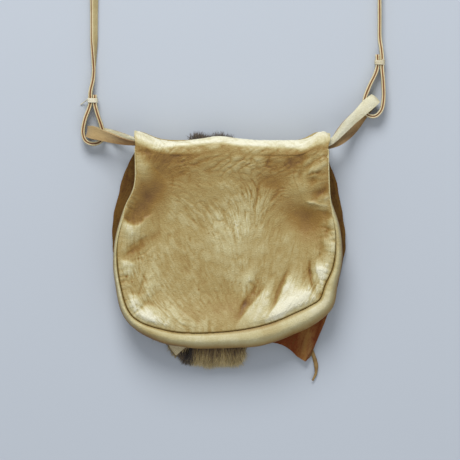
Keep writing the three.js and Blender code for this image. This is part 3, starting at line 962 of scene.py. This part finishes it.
def wrinkles(x, y, edge):
    """Fine creases along the lines of pull, and crumpled leather near the roll: height and pattern. The
    pattern also sets tone: painted shade in the valleys, painted highlight on the folds.
    """
    across, along, growth = drawn_lines(x, y)
    warp = 0.25 * noise(x / 0.012, y / 0.012, 3)
    total, weights = 0.0, 0.0
    for number, scale in enumerate(CREASE_SCALES):
        spacing = 1 / (scale * growth)
        weight = bell(np.log(spacing / CREASE_SPACING), 0.55)
        wave = creases(across * scale + warp, along * scale / 5, 5 + number)
        wave = wave + 0.6 * creases(across * scale * 2.1 - warp, along * scale / 3, 15 + number)
        total = total + weight * wave
        weights = weights + weight
    fan = total / np.maximum(weights, 0.3)
    for at_x, at_y, _, _ in DRAWN:
        fan = fan * smooth(np.hypot(x / MM - at_x, y / MM - at_y), 8, 34)
    bent = 0.0016 * noise(x / 0.009, y / 0.009, 14)
    along_roll = 0.88 * x + 0.48 * y
    across_roll = 0.88 * y - 0.48 * x + bent
    crumple = creases(along_roll / 0.012, across_roll / 0.0040, 7)
    crumple = crumple + 0.7 * creases(along_roll / 0.006, across_roll / 0.0021 + along_roll / 0.012, 8)
    below_roll = fold_line(x) - y
    rough = bell(x - 0.018, 0.044) * bell(below_roll - 0.004, 0.014)
    rough = np.clip(rough + 0.5 * bell(x - 0.066, 0.014) * bell(y - 0.044, 0.020), 0, 1)
    calm = 0.55 + 0.45 * smooth(noise(x / 0.020, y / 0.020, 9), -0.5, 0.5)
    lively = calm * (0.55 + 0.45 * smooth(noise(x / 0.006, y / 0.006, 10), -0.5, 0.5))
    inside = smooth(edge, 0.0006, 0.005)
    pattern = inside * lerp(lively * fan * FAN, crumple * CRUMPLE, rough)
    return pattern * WRINKLE_HEIGHT, pattern


def puckers(run, edge, reach):
    """Short folds square to the seam, where its thread draws the leather in."""
    wave = creases(run / 0.0048, edge / 0.02, 11) + 0.6 * creases(run / 0.0024, edge / 0.012, 12)
    strength = 0.35 + 0.65 * smooth(noise(run / 0.024, 0.5, 13), -0.3, 0.4)
    return strength * wave * bell(edge, reach) * smooth(edge, 0, 0.0012)


def roll_band(x):
    """Width of the roll's lit band."""
    places, bands = zip(*ROLL_BAND)
    return np.interp(x / MM + 2.0 * noise(x / 0.011, 0.5, 95), places, bands) * MM


def roll_press(x):
    """How far the roll is pressed in, most where its lit band is narrow."""
    return ROLL_PRESS * smooth(0.0110 - roll_band(x), 0.0, 0.0060)


def seam_show(y):
    """The seam's thread draws the leather in along the bottom and lower sides."""
    return 0.12 + 0.88 * (1 - smooth(y, -0.020, 0.004))


def back_surface(plan, edge):
    """Height and tone of the back panel's skin."""
    x, y = plan[..., 0], plan[..., 1]
    below_roll = fold_line(x) - y
    rim = np.minimum(edge, below_roll * 1.3)
    sag = SAG * smooth(rim, 0.0, SAG_REACH)
    swell, shade = relief(plan)
    inner = smooth(edge, 0.0, 0.005)
    press = roll_press(x) * (1 - smooth(below_roll, 0.002, 0.026))
    thread = seam_show(y)
    seam_fold = SEAM_FOLD * thread * bell(edge, SEAM_FOLD_SPREAD) * smooth(below_roll, 0.0, 0.004)
    run = run_of(SEAM_PLAN)[nearest(plan, SEAM_PLAN)]
    pinch = puckers(run, edge, PUCKER_REACH) * (1 + 2.8 * bell(y - 0.003, 0.016) * (x > 0))
    fine, pattern = wrinkles(x, y, edge)
    fade = smooth(below_roll, -0.001, 0.003)
    height = seam_height(y) - sag + swell * inner - press - seam_fold
    height = height + (fine + PUCKER_HEIGHT * pinch) * fade
    lit = smooth(edge, 0.0, 0.0016)
    upper = smooth(y, 0.012, 0.058) * (1 - 0.5 * bell(x - 0.012, 0.026))
    # The tone is painted shade and highlight: darker over the upper part below the roll and where the
    # relief, wrinkles and puckers sink, paler where they rise; the dark line at the seam is its thread
    tone = 0.47 - 0.17 * upper + (0.85 * shade + 14 * swell) * lit
    tone += 0.22 * pattern * fade + 0.09 * pinch - 0.30 * thread * bell(edge, 0.0006)
    return height, in_range(tone)


def body_piece(name, points, tone, skin, flesh, node, thickness=BODY_LEATHER):
    """A shell of the body's leather that stands for a CAD node."""
    piece = leather_piece(name, points, thickness, skin, flesh, "pouch", tone, 0.4)
    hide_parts(node)


def crowded(count, ends):
    """Shares from 0 to 1 that lie closer together near both ends."""
    s = np.linspace(0, 1, count)
    return s - ends * np.sin(2 * math.pi * s) / (2 * math.pi)


def make_back(skin, flesh):
    u = crowded(PANEL_COLUMNS, 0.15)
    v = crowded(PANEL_ROWS, 0.25)
    left = panel_edge(LEFT_CORNER * (1 - v), cover=True)
    right = panel_edge(RIGHT_CORNER + (1 - RIGHT_CORNER) * v, cover=True)
    bottom = panel_edge(lerp(LEFT_CORNER, RIGHT_CORNER, u))
    top_x = lerp(left[-1, 0], right[-1, 0], u)
    top = joined(top_x, fold_line(top_x) - GAP)
    plan = coons(left, right, bottom, top, u, v)
    edge = distance(plan, SEAM_PLAN + SEAM_OUTWARD * over_gusset(SEAM_LINE))
    height, tone = back_surface(plan, edge)
    panel = joined(plan[..., 0], plan[..., 1], height)

    # The roll goes on from the panel's top edge, round towards the front
    share = np.linspace(0, 1, ROLL_ROWS)[1:, None]
    turn = share * ROLL_TURN
    run = turn * ROLL_RADIUS
    x = top_x[None] + np.zeros_like(share)
    soft = creases(x / 0.0062 + run / 0.009, run / 0.0060 - x / 0.020, 21)
    soft = soft + 0.7 * creases(x / 0.0030 + run / 0.006, run / 0.0036, 22)
    lumps = noise(x / 0.020, run / 0.016, 23)
    away = smooth(run, 0, 0.004)
    lip = np.minimum(u, 1 - u)[None] * (RIGHT_TOP - LEFT_TOP)
    corner = bell(lip, 0.012)
    over = fold_line(x) + ROLL_RADIUS * np.sin(np.minimum(turn, math.pi / 2))
    fine, pattern = wrinkles(x, over, np.full_like(over, SAG_REACH))
    radius = ROLL_RADIUS + away * (soft * (0.00018 + 0.00022 * corner) + 0.0006 * lumps + 0.7 * fine)
    spread = lerp(*ROLL_OVERHANGS, u)[None] * smooth(share, 0, 0.3)
    pressed = roll_press(x) * (1 - smooth(turn, math.radians(12), math.radians(72)))
    roll = joined(
        x + spread,
        fold_line(x) - GAP * (1 - away) + radius * np.sin(turn),
        ROLL_MIDDLE + radius * np.cos(turn) - pressed,
    )
    from_top = radius * (1 - np.sin(np.minimum(turn, math.pi / 2)))
    # The roll's tone is painted light: pale over its lit band and palest near its top as painted highlight,
    # darker past the band, in its creases and at its ends as painted shade
    lit = 1 - smooth(from_top + 0.0009 * lumps, roll_band(x) - 0.0018, roll_band(x) + 0.0016)
    crown = smooth(0.009 - from_top, 0.0, 0.006)
    roll_tone = lerp(0.32 + 0.22 * pattern, 0.72 + 0.14 * crown + 0.06 * pattern, lit)
    shaded = bell(lip, 0.002) + 0.9 * corner * (1 - smooth(run, 0.001, 0.008))
    roll_tone = roll_tone + 0.07 * lumps + 0.06 * soft - 0.22 * shaded
    roll_tone = lerp(tone[-1:], roll_tone, smooth(share, 0, 0.10))
    points, tones = np.concatenate([panel, roll]), np.concatenate([tone, roll_tone])
    body_piece("back", points, tones, skin, flesh, "back_panel")


def make_gusset(skin, flesh):
    line = evenly(SEAM_LINE, GUSSET_COLUMNS)
    run = run_of(line[:, :2])
    out = outward(line)
    v = crowded(GUSSET_ROWS, 0.3)[:, None]
    turn = math.pi * v
    seam_z = seam_height(line[:, 1])[None]
    puff = line[None, :, 2]
    fullness = puff / GUSSET_PUFF
    middle, half = (seam_z + FRONT_SKIN) / 2, (seam_z - FRONT_SKIN) / 2
    soft = noise(run / 0.013, 0.5, 24)[None] * 0.0005 * np.sin(turn)
    covered = over_gusset(line).T / puff
    bulge = np.maximum(np.sin(turn), smooth(v, 0.0, 0.04) * np.sqrt(np.clip(covered, 0, 1)) * (v < 0.5))
    along = puff * lerp(np.sin(turn) ** 0.86, bulge, smooth(covered, 0.0, 0.8)) + soft
    crest = 0.0019 * fullness * bell(v - 0.16, 0.11)
    thread = seam_show(line[:, 1])[None]
    tuck = 0.0013 * thread * bell(v, 0.030) - 0.0010 * bell(1 - v, 0.04)
    depth = v * (2 * half + 2 * puff) * 0.7
    pull = GUSSET_PUCKER_HEIGHT * puckers(run[None] + 0.3, depth, GUSSET_PUCKER_REACH)
    height = middle + half * np.cos(turn) + crest - tuck + pull
    points = joined(line[:, 0] + out[:, 0] * along, line[:, 1] + out[:, 1] * along, height)
    patchy = noise(run / 0.018, 0.5, 25)[None]
    painted_dent_shade = (bell(line[:, 0] + 0.057, 0.014) * bell(line[:, 1] + 0.064, 0.013))[None]
    # Tone: pale near the seam as painted highlight, darker towards the outer edge as painted shade, and
    # darker in a dent at the lower left as painted shade; the dark line at the seam is its thread
    tone = 0.75 + 0.12 * patchy - 0.50 * smooth(v + 0.06 * patchy, 0.15, 0.42)
    tone = tone - 0.18 * painted_dent_shade * smooth(v, 0.02, 0.14) - 0.38 * thread * bell(v, 0.025)
    thickness = BODY_LEATHER * 0.8
    body_piece("gusset_band", points[::-1], in_range(tone)[::-1], skin, flesh, "gusset", thickness)


def make_front(skin, flesh):
    mouth = FOLD_BASE - ROLL_RADIUS - MOUTH_DEPTH
    gap = np.abs(SEAM_LINE[:, 1] - mouth)
    third = len(gap) // 3
    left_mouth = np.argmin(gap[:third]) / (len(gap) - 1)
    right_mouth = (np.argmin(gap[2 * third :]) + 2 * third) / (len(gap) - 1)
    u, v = np.linspace(0, 1, FRONT_COLUMNS), np.linspace(0, 1, FRONT_ROWS)
    left = panel_edge(lerp(RIGHT_CORNER, right_mouth, v))
    right = panel_edge(lerp(LEFT_CORNER, left_mouth, v))
    bottom = panel_edge(lerp(RIGHT_CORNER, LEFT_CORNER, u))
    top = lerp(left[-1], right[-1], u[:, None]) - joined(0.0, 0.003 * np.sin(math.pi * u))
    plan = coons(left, right, bottom, top, u, v)
    x, y = plan[..., 0], plan[..., 1]
    inner = distance(plan, SEAM_PLAN)
    height = FRONT_SKIN + 0.0008 * smooth(inner, 0, 0.02) * (1 + noise(x / 0.03, y / 0.03, 26)) / 2
    tone = 0.5 + 0.15 * noise(x / 0.03, y / 0.03, 27)
    body_piece("front", joined(x, y, height), tone, skin, flesh, "front_panel")


# Tabs: strips that leave the roll's ends, fold round the strap and come back under themselves.
# Each edge runs out over the top layer, round the fold and back along the lower layer.

LEFT_TAB_UPPER = [
    (-0.0660, 0.0735, 0.0232), (-0.0700, 0.0738, 0.0230), (-0.0777, 0.0760, 0.0212),
    (-0.0881, 0.0802, 0.0160), (-0.0960, 0.0832, 0.0124), (-0.1010, 0.0852, 0.0108),
    (-0.1040, 0.0852, 0.0066), (-0.1018, 0.0852, 0.0016), (-0.0950, 0.0844, 0.0012),
    (-0.0881, 0.0828, 0.0044), (-0.0807, 0.0802, 0.0112), (-0.0725, 0.0774, 0.0172),
    (-0.0665, 0.0750, 0.0186),
]
LEFT_TAB_LOWER = [
    (-0.0660, 0.0698, 0.0226), (-0.0700, 0.0700, 0.0224), (-0.0777, 0.0708, 0.0192),
    (-0.0881, 0.0726, 0.0142), (-0.0965, 0.0742, 0.0120), (-0.1022, 0.0754, 0.0108),
    (-0.1058, 0.0768, 0.0066), (-0.1034, 0.0762, 0.0016), (-0.0960, 0.0752, 0.0010),
    (-0.0881, 0.0745, 0.0030), (-0.0807, 0.0738, 0.0088), (-0.0725, 0.0732, 0.0158),
    (-0.0665, 0.0728, 0.0184),
]
RIGHT_TAB_UPPER = [
    (0.0720, 0.0735, 0.0236), (0.0762, 0.0765, 0.0232), (0.0850, 0.0881, 0.0180),
    (0.0925, 0.0958, 0.0142), (0.1000, 0.1042, 0.0116), (0.1046, 0.1078, 0.0106),
    (0.1064, 0.1090, 0.0064), (0.1034, 0.1066, 0.0016), (0.0975, 0.1005, 0.0010),
    (0.0905, 0.0905, 0.0036), (0.0845, 0.0832, 0.0110), (0.0780, 0.0765, 0.0182),
    (0.0725, 0.0738, 0.0196),
]
RIGHT_TAB_LOWER = [
    (0.0725, 0.0690, 0.0232), (0.0772, 0.0716, 0.0226), (0.0862, 0.0795, 0.0170),
    (0.0948, 0.0876, 0.0132), (0.1050, 0.0962, 0.0112), (0.1100, 0.1006, 0.0104),
    (0.1124, 0.1030, 0.0064), (0.1096, 0.1000, 0.0016), (0.1040, 0.0930, 0.0010),
    (0.0972, 0.0836, 0.0022), (0.0905, 0.0762, 0.0084), (0.0820, 0.0702, 0.0166),
    (0.0740, 0.0676, 0.0192),
]
TAB_COLUMNS, TAB_ROWS = 121, 15
TAB_LENGTH = 0.075


def make_tab(name, node, upper, lower, skin, flesh, root_tone, fold_tone):
    """A tab whose flesh side goes from root_tone at the roll to fold_tone at the strap; its darker tone at
    the roll is painted shadow of the roll.
    """
    above, below = through(upper, TAB_COLUMNS), through(lower, TAB_COLUMNS)
    across = np.linspace(0, 1, TAB_ROWS)[:, None]
    points = lerp(below[None], above[None], across[..., None])
    along = np.linspace(0, 1, TAB_COLUMNS)[None]
    run = along * TAB_LENGTH
    ripple = 0.00022 * noise(run / 0.006, across * 1.5, 51)
    ripple = ripple + 0.00012 * creases(run / 0.0024, across * 2, 52)
    crown = 0.0005 * np.sin(math.pi * across)
    points = points + grid_normals(points) * (ripple + crown)[..., None]
    worn = 0.10 * fractal(run / 0.010, across * 2, 53)
    shade = lerp(root_tone, fold_tone, smooth(along, 0.04, 0.36)) + worn
    # Darker along the lower edge, where the strip turns down away from the light: painted shade
    shade = in_range(shade - 0.12 * (1 - smooth(across, 0.1, 0.6)))
    pale = in_range(0.92 + worn)
    piece = leather_piece(name, points, TAB_LEATHER, skin, flesh, "pouch", pale, shade)
    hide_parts(node)


# Flap: hide with a neck that is sewn to the front of the roll, pelt, hair and tail

HIDE_LEFT = [
    (-0.0762, 0.0544), (-0.0829, 0.0320), (-0.0866, 0.0128), (-0.0866, -0.0024), (-0.0820, -0.0280),
    (-0.0680, -0.0540), (-0.0459, -0.0720),
]
HIDE_BOTTOM = [(-0.0119, -0.0772), (0.0357, -0.0766), (0.0455, -0.0815), (0.0505, -0.0864)]
HIDE_TIP = (0.0570, -0.0904)
HIDE_TIP_END = (0.0605, -0.0866)
TIP_FOLD_END = -0.0895
TAIL_EDGE = 0.0600
HIDE_RIGHT = [
    (0.0733, -0.0555), (0.0830, -0.0248), (0.0868, 0.0), (0.0844, 0.0196), (0.0799, 0.0432),
    (0.0747, 0.0584),
]
HIDE_COLUMNS, HIDE_ROWS, NECK_ROWS = 121, 131, 25
# The neck from the hide's top edge to the roll: share of the way to the roll's front, and height
NECK = [
    (0.0, 0.0098), (0.42, 0.0088), (0.78, 0.0077), (0.96, 0.0084), (1.0, 0.0108), (0.97, 0.0135),
    (0.50, 0.0160),
]
NECK_GAP = 0.0006
# The cut sizes of the hide and the pelt
DROOP = 0.0040
PELT_LEFT = [
    (-0.0561, 0.0304), (-0.0638, -0.0096), (-0.0544, -0.0512), (-0.0440, -0.0795), (-0.0396, -0.0856),
]
PELT_RIGHT = [(0.0125, -0.0795), (0.0323, -0.0496), (0.0391, -0.0080), (0.0264, 0.0320)]
PELT_TOP_LEFT, PELT_TOP_RIGHT = (-0.0357, 0.0700), (0.0085, 0.0700)
PELT_COLUMNS, PELT_ROWS = 61, 91
PELT_SKIN = 0.0009


def hide_height(x, y):
    """The hide lies on the pelt, and droops towards the ground past the pelt's sides and corner."""
    past_left = smooth(-x, 0.060, 0.088)
    past_right = smooth(x, 0.036, 0.088)
    past_end = smooth(-y, 0.060, 0.092) * smooth(x, 0.020, 0.055)
    free = np.clip(past_left + past_right + past_end, 0, 1.4)
    wave = 0.0009 * noise(x / 0.030, y / 0.026, 61)
    away = smooth(FLAP_TOP - y, 0.002, 0.020)
    return FLAP_UNDERSIDE + FLAP_LEATHER + away * (free * (wave - DROOP) - 0.0002)


def make_hide(flesh, skin):
    v = np.linspace(0, 1, HIDE_ROWS)
    u = crowded(HIDE_COLUMNS, 0.3)
    left = through([(LEFT_TOP, FLAP_TOP), *HIDE_LEFT], HIDE_ROWS)[::-1]
    right = through([HIDE_TIP_END, *HIDE_RIGHT, (RIGHT_TOP, FLAP_TOP)], HIDE_ROWS)
    bottom = np.concatenate([through([HIDE_LEFT[-1], *HIDE_BOTTOM], 60), [HIDE_TIP, HIDE_TIP_END]])
    even = np.linspace(0, 1, HIDE_COLUMNS)
    bottom = joined(*(np.interp(u, even, part) for part in evenly(bottom, HIDE_COLUMNS).T))
    top = joined(lerp(LEFT_TOP, RIGHT_TOP, u), FLAP_TOP)
    plan = coons(left, right, bottom, top, u, v)
    x, y = plan[..., 0], plan[..., 1]
    side = np.minimum(u, 1 - u)[None]
    ragged = 0.0006 * noise(y / 0.007, 0.5, 62) * (1 - smooth(side, 0, 0.03)) * np.sign(u - 0.5)[None]
    x = x + ragged * smooth(FLAP_TOP - y, 0, 0.02)
    lift = 0.0010 * noise(y / 0.016, 2 * (u > 0.5)[None] + 0.5, 63) * (1 - smooth(side, 0.0, 0.06))
    z = hide_height(x, y) + lift * smooth(FLAP_TOP - y, 0.004, 0.03)
    past_fold = x - 0.0560 - (y - TIP_FOLD_END) * 0.16
    z = z + 0.0022 * bell(past_fold, 0.0038) * smooth(-y, 0.058, 0.080)

    # The neck rises from the hide's top edge to the front of the roll
    w = np.linspace(0, 1, NECK_ROWS)[1:, None]
    profile = spline(NECK, w[:, 0])
    neck_x = top[None, :, 0] * (1 - 0.03 * w)
    reach = lerp(FLAP_TOP, roll_edge(neck_x) - NECK_GAP, profile[:, :1])
    points = np.concatenate([joined(x, y, z), joined(neck_x, reach, profile[:, 1:])])

    # Rust at the drawn-out corner with a painted highlight along its ridge and painted shade past the tip's
    # edge; brown with pale streaks elsewhere, and a painted highlight along each side
    x, y = points[..., 0], points[..., 1]
    tone = 0.34 + 0.10 * fractal(x / 0.02, y / 0.02, 64)
    rust = smooth(-y, 0.048, 0.060) * smooth(x, 0.022, 0.034)
    grain = creases((x - 0.2 * y) / 0.0022, y / 0.016, 67)
    tone = lerp(tone, 0.70 + 0.07 * grain, rust)
    ridge_highlight = bell(x - 0.0568 - (y - TIP_FOLD_END) * 0.10, 0.0048)
    tone = tone + 0.26 * ridge_highlight * smooth(-y, 0.058, 0.072)
    # Painted shade on the shaded underside past the tip's right edge
    past_tip = x - TAIL_EDGE - (y - HIDE_TIP_END[1]) * 0.62
    tone = tone - 0.4 * smooth(past_tip, -0.0022, 0.0) * smooth(-y, 0.055, 0.068)
    # Pale streaks of the grain, and a pale band along each side that is painted highlight on the outer edges
    streaks_and_edge_highlight = 0.10 * creases(x / 0.0018, y / 0.010, 68) + 0.14 * bell(side, 0.010)
    tone = in_range(tone + streaks_and_edge_highlight * (1 - smooth(-y, 0.05, 0.07)))
    return leather_piece("flap_hide", points, FLAP_LEATHER, flesh, skin, None, tone, 0.5)


def pelt_plan(columns, rows):
    v = np.linspace(0, 1, rows)
    u = np.linspace(0, 1, columns)
    left = through([PELT_TOP_LEFT, *PELT_LEFT], rows)[::-1]
    right = through([PELT_TOP_RIGHT, *PELT_RIGHT[::-1]], rows)[::-1]
    bottom = through([PELT_LEFT[-1], (-0.0300, -0.0790), (-0.0060, -0.0795), PELT_RIGHT[0]], columns)
    top = np.linspace(PELT_TOP_LEFT, PELT_TOP_RIGHT, columns)
    return coons(left, right, bottom, top, u, v)


def make_pelt(finish):
    plan = pelt_plan(PELT_COLUMNS, PELT_ROWS)
    x, y = plan[..., 0], plan[..., 1]
    corner = smooth(-y, 0.072, 0.080) * smooth(-x, 0.028, 0.036)
    z = FLAP_UNDERSIDE - GAP + 0.0001 * noise(x / 0.01, y / 0.01, 65) - 0.0010 * corner
    tone = 0.52 + 0.36 * corner + 0.2 * fractal(x / 0.012, y / 0.012, 66)
    points = joined(x, y, z)
    piece = leather_piece("pelt_skin", points, PELT_SKIN, finish, finish, "flap", tone, 0.35)
    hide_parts("flap_pelt")
    return piece


# Each hair has three rings of three points and a tip, at these shares of its length
HAIR_PLACES = (0.0, 0.38, 0.74, 1.0)
HAIR_WIDTHS = (0.75, 1.0, 0.62)
HAIR_CORNERS = [(0.0, 0.85), (1.0, -0.4), (-1.0, -0.4)]
HAIR_FACES = [
    [0, 1, 2],
    [1, 0, 3, 4], [2, 1, 4, 5], [0, 2, 5, 3],
    [4, 3, 6, 7], [5, 4, 7, 8], [3, 5, 8, 6],
    [7, 6, 9], [8, 7, 9], [6, 8, 9],
]
HAIR_POINTS = 10
# Pieces of the pelt's hair, with the share of its length that each covers, from its end
FUR_BANDS = [("fur_upper", 0.44, 1.0), ("fur_lower", 0.0, 0.44)]
FUR_GRID = (201, 301)
BAND_HAIRS, TUFT_HAIRS, FRINGE_HAIRS = 11400, 1500, 4800
# Ranges that hairs are drawn from: length and width of the pelt's, width of the others
BAND_LENGTHS, BAND_WIDTHS = (0.010, 0.0165), (0.00034, 0.00052)
TUFT_WIDTHS, FRINGE_WIDTHS = (0.00030, 0.00050), (0.00032, 0.00050)
# Ranges of the roots and of the height that the tips sink to
TUFT_Y, TUFT_TIPS = (0.0660, 0.0705), (0.0012, 0.0078)
FRINGE_X, FRINGE_Y, FRINGE_TIPS = (-0.0375, 0.0100), (-0.0835, -0.0755), (0.0010, 0.0076)
FRINGE_END = -0.0958
LOWEST_HAIR = 0.0006
# The pelt's hair ends above this line, and a hair that would pass it is cut short
HAIR_END = -0.0775
CUT_HAIR = 0.0035
# Clumps of the tuft: x and length
CLUMPS = [
    (-0.0252, 0.0100), (-0.0222, 0.0116), (-0.0195, 0.0100), (-0.0150, 0.0084),
    (-0.0105, 0.0102), (-0.0060, 0.0116), (-0.0022, 0.0094),
]
LOCK_WIDTH = 0.0026


def hair_piece(name, roots, heading, length, start_z, end_z, width, tone, tip_tone, finish, seed):
    """Tapered hairs: each starts at a root, heads along heading and sinks from start_z to end_z."""
    count = len(roots)
    bend = np.random.default_rng(seed).normal(0, 0.16, count)
    centre = []
    for s in HAIR_PLACES:
        angle = heading + bend * s
        x, y = roots[:, 0] + length * s * np.cos(angle), roots[:, 1] + length * s * np.sin(angle)
        centre.append(joined(x, y, lerp(start_z, end_z, 1 - (1 - s) ** 1.7)))
    side = joined(-np.sin(heading), np.cos(heading), 0.0)
    points = []
    for middle, thin in zip(centre, HAIR_WIDTHS):
        for across, above in HAIR_CORNERS:
            offset = side * across + np.array([0.0, 0.0, 0.6 * above])
            points.append(middle + offset * (width * thin / 2)[:, None])
    vertices = np.stack([*points, centre[-1]], axis=1)
    faces = [[HAIR_POINTS * n + k for k in face] for n in range(count) for face in HAIR_FACES]
    along = np.append(np.repeat(HAIR_PLACES[:3], 3), 1.0)
    tones = in_range(lerp(tone[:, None], tip_tone[:, None], along[None] ** 1.3))
    piece = make_piece(name, vertices.reshape(-1, 3), faces, [finish], "flap", tones)
    strand_map(piece, count)


def strand_map(piece, count):
    """A map with a cell of its own for each hair."""
    side = math.ceil(math.sqrt(count))
    u = np.array([0.1, 0.5, 0.9] * 3 + [0.5])
    v = np.append(np.repeat([0.1, 0.4, 0.7], 3), 0.9)
    corners = np.concatenate(HAIR_FACES)
    number = np.arange(count)
    cell = joined(number % side, number // side)[:, None]
    coordinates = (cell + joined(u[corners], v[corners])[None]) / side
    layer = piece.data.uv_layers.new(name="OFBake")
    layer.data.foreach_set("uv", coordinates.astype(np.float32).ravel())


def hair_heading(x, y):
    """Hair lies down the flap, fanning to its sides, in locks."""
    fan = 8.25 * (x + 0.012)
    locks = 0.34 * noise(x / 0.016, y / 0.016, 71) + 0.20 * noise(x / 0.006, y / 0.007, 72)
    return fan + locks - math.pi / 2


def pelt_tone(x, y):
    """Dark at the top of the flap, tan and cream at its end."""
    down = smooth(0.050 - y, 0.0, 0.105)
    mottle = 0.10 * noise(x / 0.014, y / 0.018, 73) + 0.05 * noise(x / 0.004, y / 0.005, 74)
    return 0.10 + 0.56 * down + mottle


def make_fur(finish):
    random = np.random.default_rng(7)
    plan = pelt_plan(*FUR_GRID)
    rows, columns = plan.shape[:2]
    skin_z = FLAP_UNDERSIDE - GAP - PELT_SKIN
    count = BAND_HAIRS
    for name, low, high in FUR_BANDS:
        i = random.integers(0, columns, count)
        j = (random.uniform(low, high, count) * (rows - 1)).astype(int)
        roots = plan[j, i] + random.normal(0, 0.00025, (count, 2))
        x, y = roots[:, 0], roots[:, 1]
        length = random.uniform(*BAND_LENGTHS, count)
        end_z = LOWEST_HAIR + (skin_z - 0.0020) * random.uniform(0, 1, count)
        tone = pelt_tone(x, y) + random.normal(0, 0.06, count) - 0.10
        tip_tone = tone + random.uniform(0.10, 0.34, count)
        heading = hair_heading(x, y) + random.normal(0, 0.10, count)
        end = HAIR_END - 0.0085 * smooth(-x, 0.024, 0.029) * (1 - smooth(-x, 0.037, 0.040))
        length = np.where(y + length * np.sin(heading) < end, CUT_HAIR, length)
        width = random.uniform(*BAND_WIDTHS, count)
        hair_piece(name, roots, heading, length, skin_z, end_z, width, tone, tip_tone, finish, 8)

    # Locks that show past the pouch: dark ones over the top edge, pale ones at the bottom
    count = TUFT_HAIRS
    clump_x, reach = np.array(CLUMPS).T
    which = random.integers(0, len(CLUMPS), count)
    x = clump_x[which] + random.normal(0, 0.0014, count)
    y = random.uniform(*TUFT_Y, count)
    tuft = dict(
        roots=joined(x, y),
        heading=math.pi / 2 - 40 * (x - clump_x[which]) + random.normal(0, 0.22, count),
        length=reach[which] * random.uniform(0.75, 1.12, count),
        start_z=np.full(count, skin_z),
        end_z=random.uniform(*TUFT_TIPS, count),
        width=random.uniform(*TUFT_WIDTHS, count),
        tone=0.10 + random.normal(0, 0.05, count),
        tip_tone=0.20 + random.uniform(-0.1, 0.22, count),
    )
    count = FRINGE_HAIRS
    x = random.uniform(*FRINGE_X, count)
    lock = LOCK_WIDTH * np.round(x / LOCK_WIDTH)
    y = random.uniform(*FRINGE_Y, count)
    # Left of the pale locks the hair is short, lies under the pelt's corner and is painted darker as shade,
    # darkest as a painted shadow between the corner and the first pale lock
    shaded = smooth(-x, 0.0255, 0.0275)
    under_corner = smooth(-x, 0.0275, 0.0300)
    painted_shadow = bell(x + 0.0290, 0.0016)
    ragged = 0.88 + 0.16 * noise(lock / 0.003, 0.5, 75)
    taper = 1 - 0.30 * smooth(x, 0.0040, 0.0100) - (0.10 + 0.40 * smooth(-x, 0.029, 0.0375)) * shaded
    # Roots darker than tips: partly the hair's own colour, partly painted shadow where the hair comes out
    # under the gusset's edge; the masks above darken it further as painted shade
    root_tone = 0.36 + 0.10 * noise(lock / 0.004, 0.5, 76) - 0.16 * shaded - 0.24 * painted_shadow
    end_tone = 1.1 + 0.24 * noise(lock / 0.003, 0.5, 77) - 0.60 * shaded - 0.40 * painted_shadow
    fan = 0.10 * (x + 0.012) / 0.03 + 110 * (lock - x)
    fringe = dict(
        roots=joined(x, y),
        heading=fan - math.pi / 2 + random.normal(0, 0.10, count),
        length=(y - FRINGE_END) * ragged * taper * random.uniform(0.66, 1.10, count),
        start_z=skin_z - 0.0024 * under_corner,
        end_z=random.uniform(*FRINGE_TIPS, count) * (1 - 0.65 * under_corner),
        width=random.uniform(*FRINGE_WIDTHS, count),
        tone=root_tone + random.normal(0, 0.06, count),
        tip_tone=end_tone + random.normal(0, 0.14, count),
    )
    tufts = {key: np.concatenate([tuft[key], fringe[key]]) for key in tuft}
    hair_piece("fur_locks", finish=finish, seed=9, **tufts)


TAIL_LINE = [
    (0.0590, -0.0745, 0.0013), (0.0604, -0.0790, 0.0013), (0.0622, -0.0838, 0.0013),
    (0.0640, -0.0888, 0.0014), (0.0651, -0.0945, 0.0016), (0.0647, -0.0995, 0.0017),
    (0.0632, -0.1028, 0.0018), (0.0622, -0.1046, 0.0018),
]
TAIL_STEPS = 61
TAIL_HALF_HEIGHT, TAIL_HALF_WIDTH = 0.0009, 0.0016


def make_thong(finish):
    share = np.linspace(0, 1, TAIL_STEPS)
    circle = ring(12, 1.0)
    section = circle[:, ::-1] * (TAIL_HALF_HEIGHT, TAIL_HALF_WIDTH)
    slim = (1 - 0.45 * smooth(share, 0.55, 1.0)) * (1 + 0.10 * noise(share * 14, 0.5, 81))
    sections = section[None] * slim[:, None, None]
    vertices, faces = tube(sweep(through(TAIL_LINE, TAIL_STEPS), sections, 0.5 * np.sin(share * 5)))
    # The tail is paler on its upper side and darker underneath: painted highlight and painted shade
    tone = (0.5 + 0.2 * noise(share * 10, 0.5, 82))[:, None] + 0.25 * circle[None, :, 1]
    piece = make_piece("flap_tail", vertices, faces, [finish], "flap", tone)
    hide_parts("flap_thong")


make_camera()
make_stage()
strap, strap_line = make_strap(strap_finish())
on_strap = make_threads(thread_finish())

skin, body_inside = gold_leather(), suede("body_flesh", BODY_FLESH)
make_back(skin, body_inside)
make_gusset(skin, body_inside)
make_front(skin, body_inside)
make_tab("tab_left", "left_tab", LEFT_TAB_UPPER, LEFT_TAB_LOWER, skin, body_inside, 0.42, 1.0)
make_tab("tab_right", "right_tab", RIGHT_TAB_UPPER, RIGHT_TAB_LOWER, skin, body_inside, 0.55, 0.75)
hide = make_hide(suede("hide_flesh", HIDE_FLESH), skin)
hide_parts("flap_leather")
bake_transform(hide)
pelt = make_pelt(suede("pelt_flesh", PELT_FLESH))
make_fur(fur_finish())
make_thong(thong_finish())
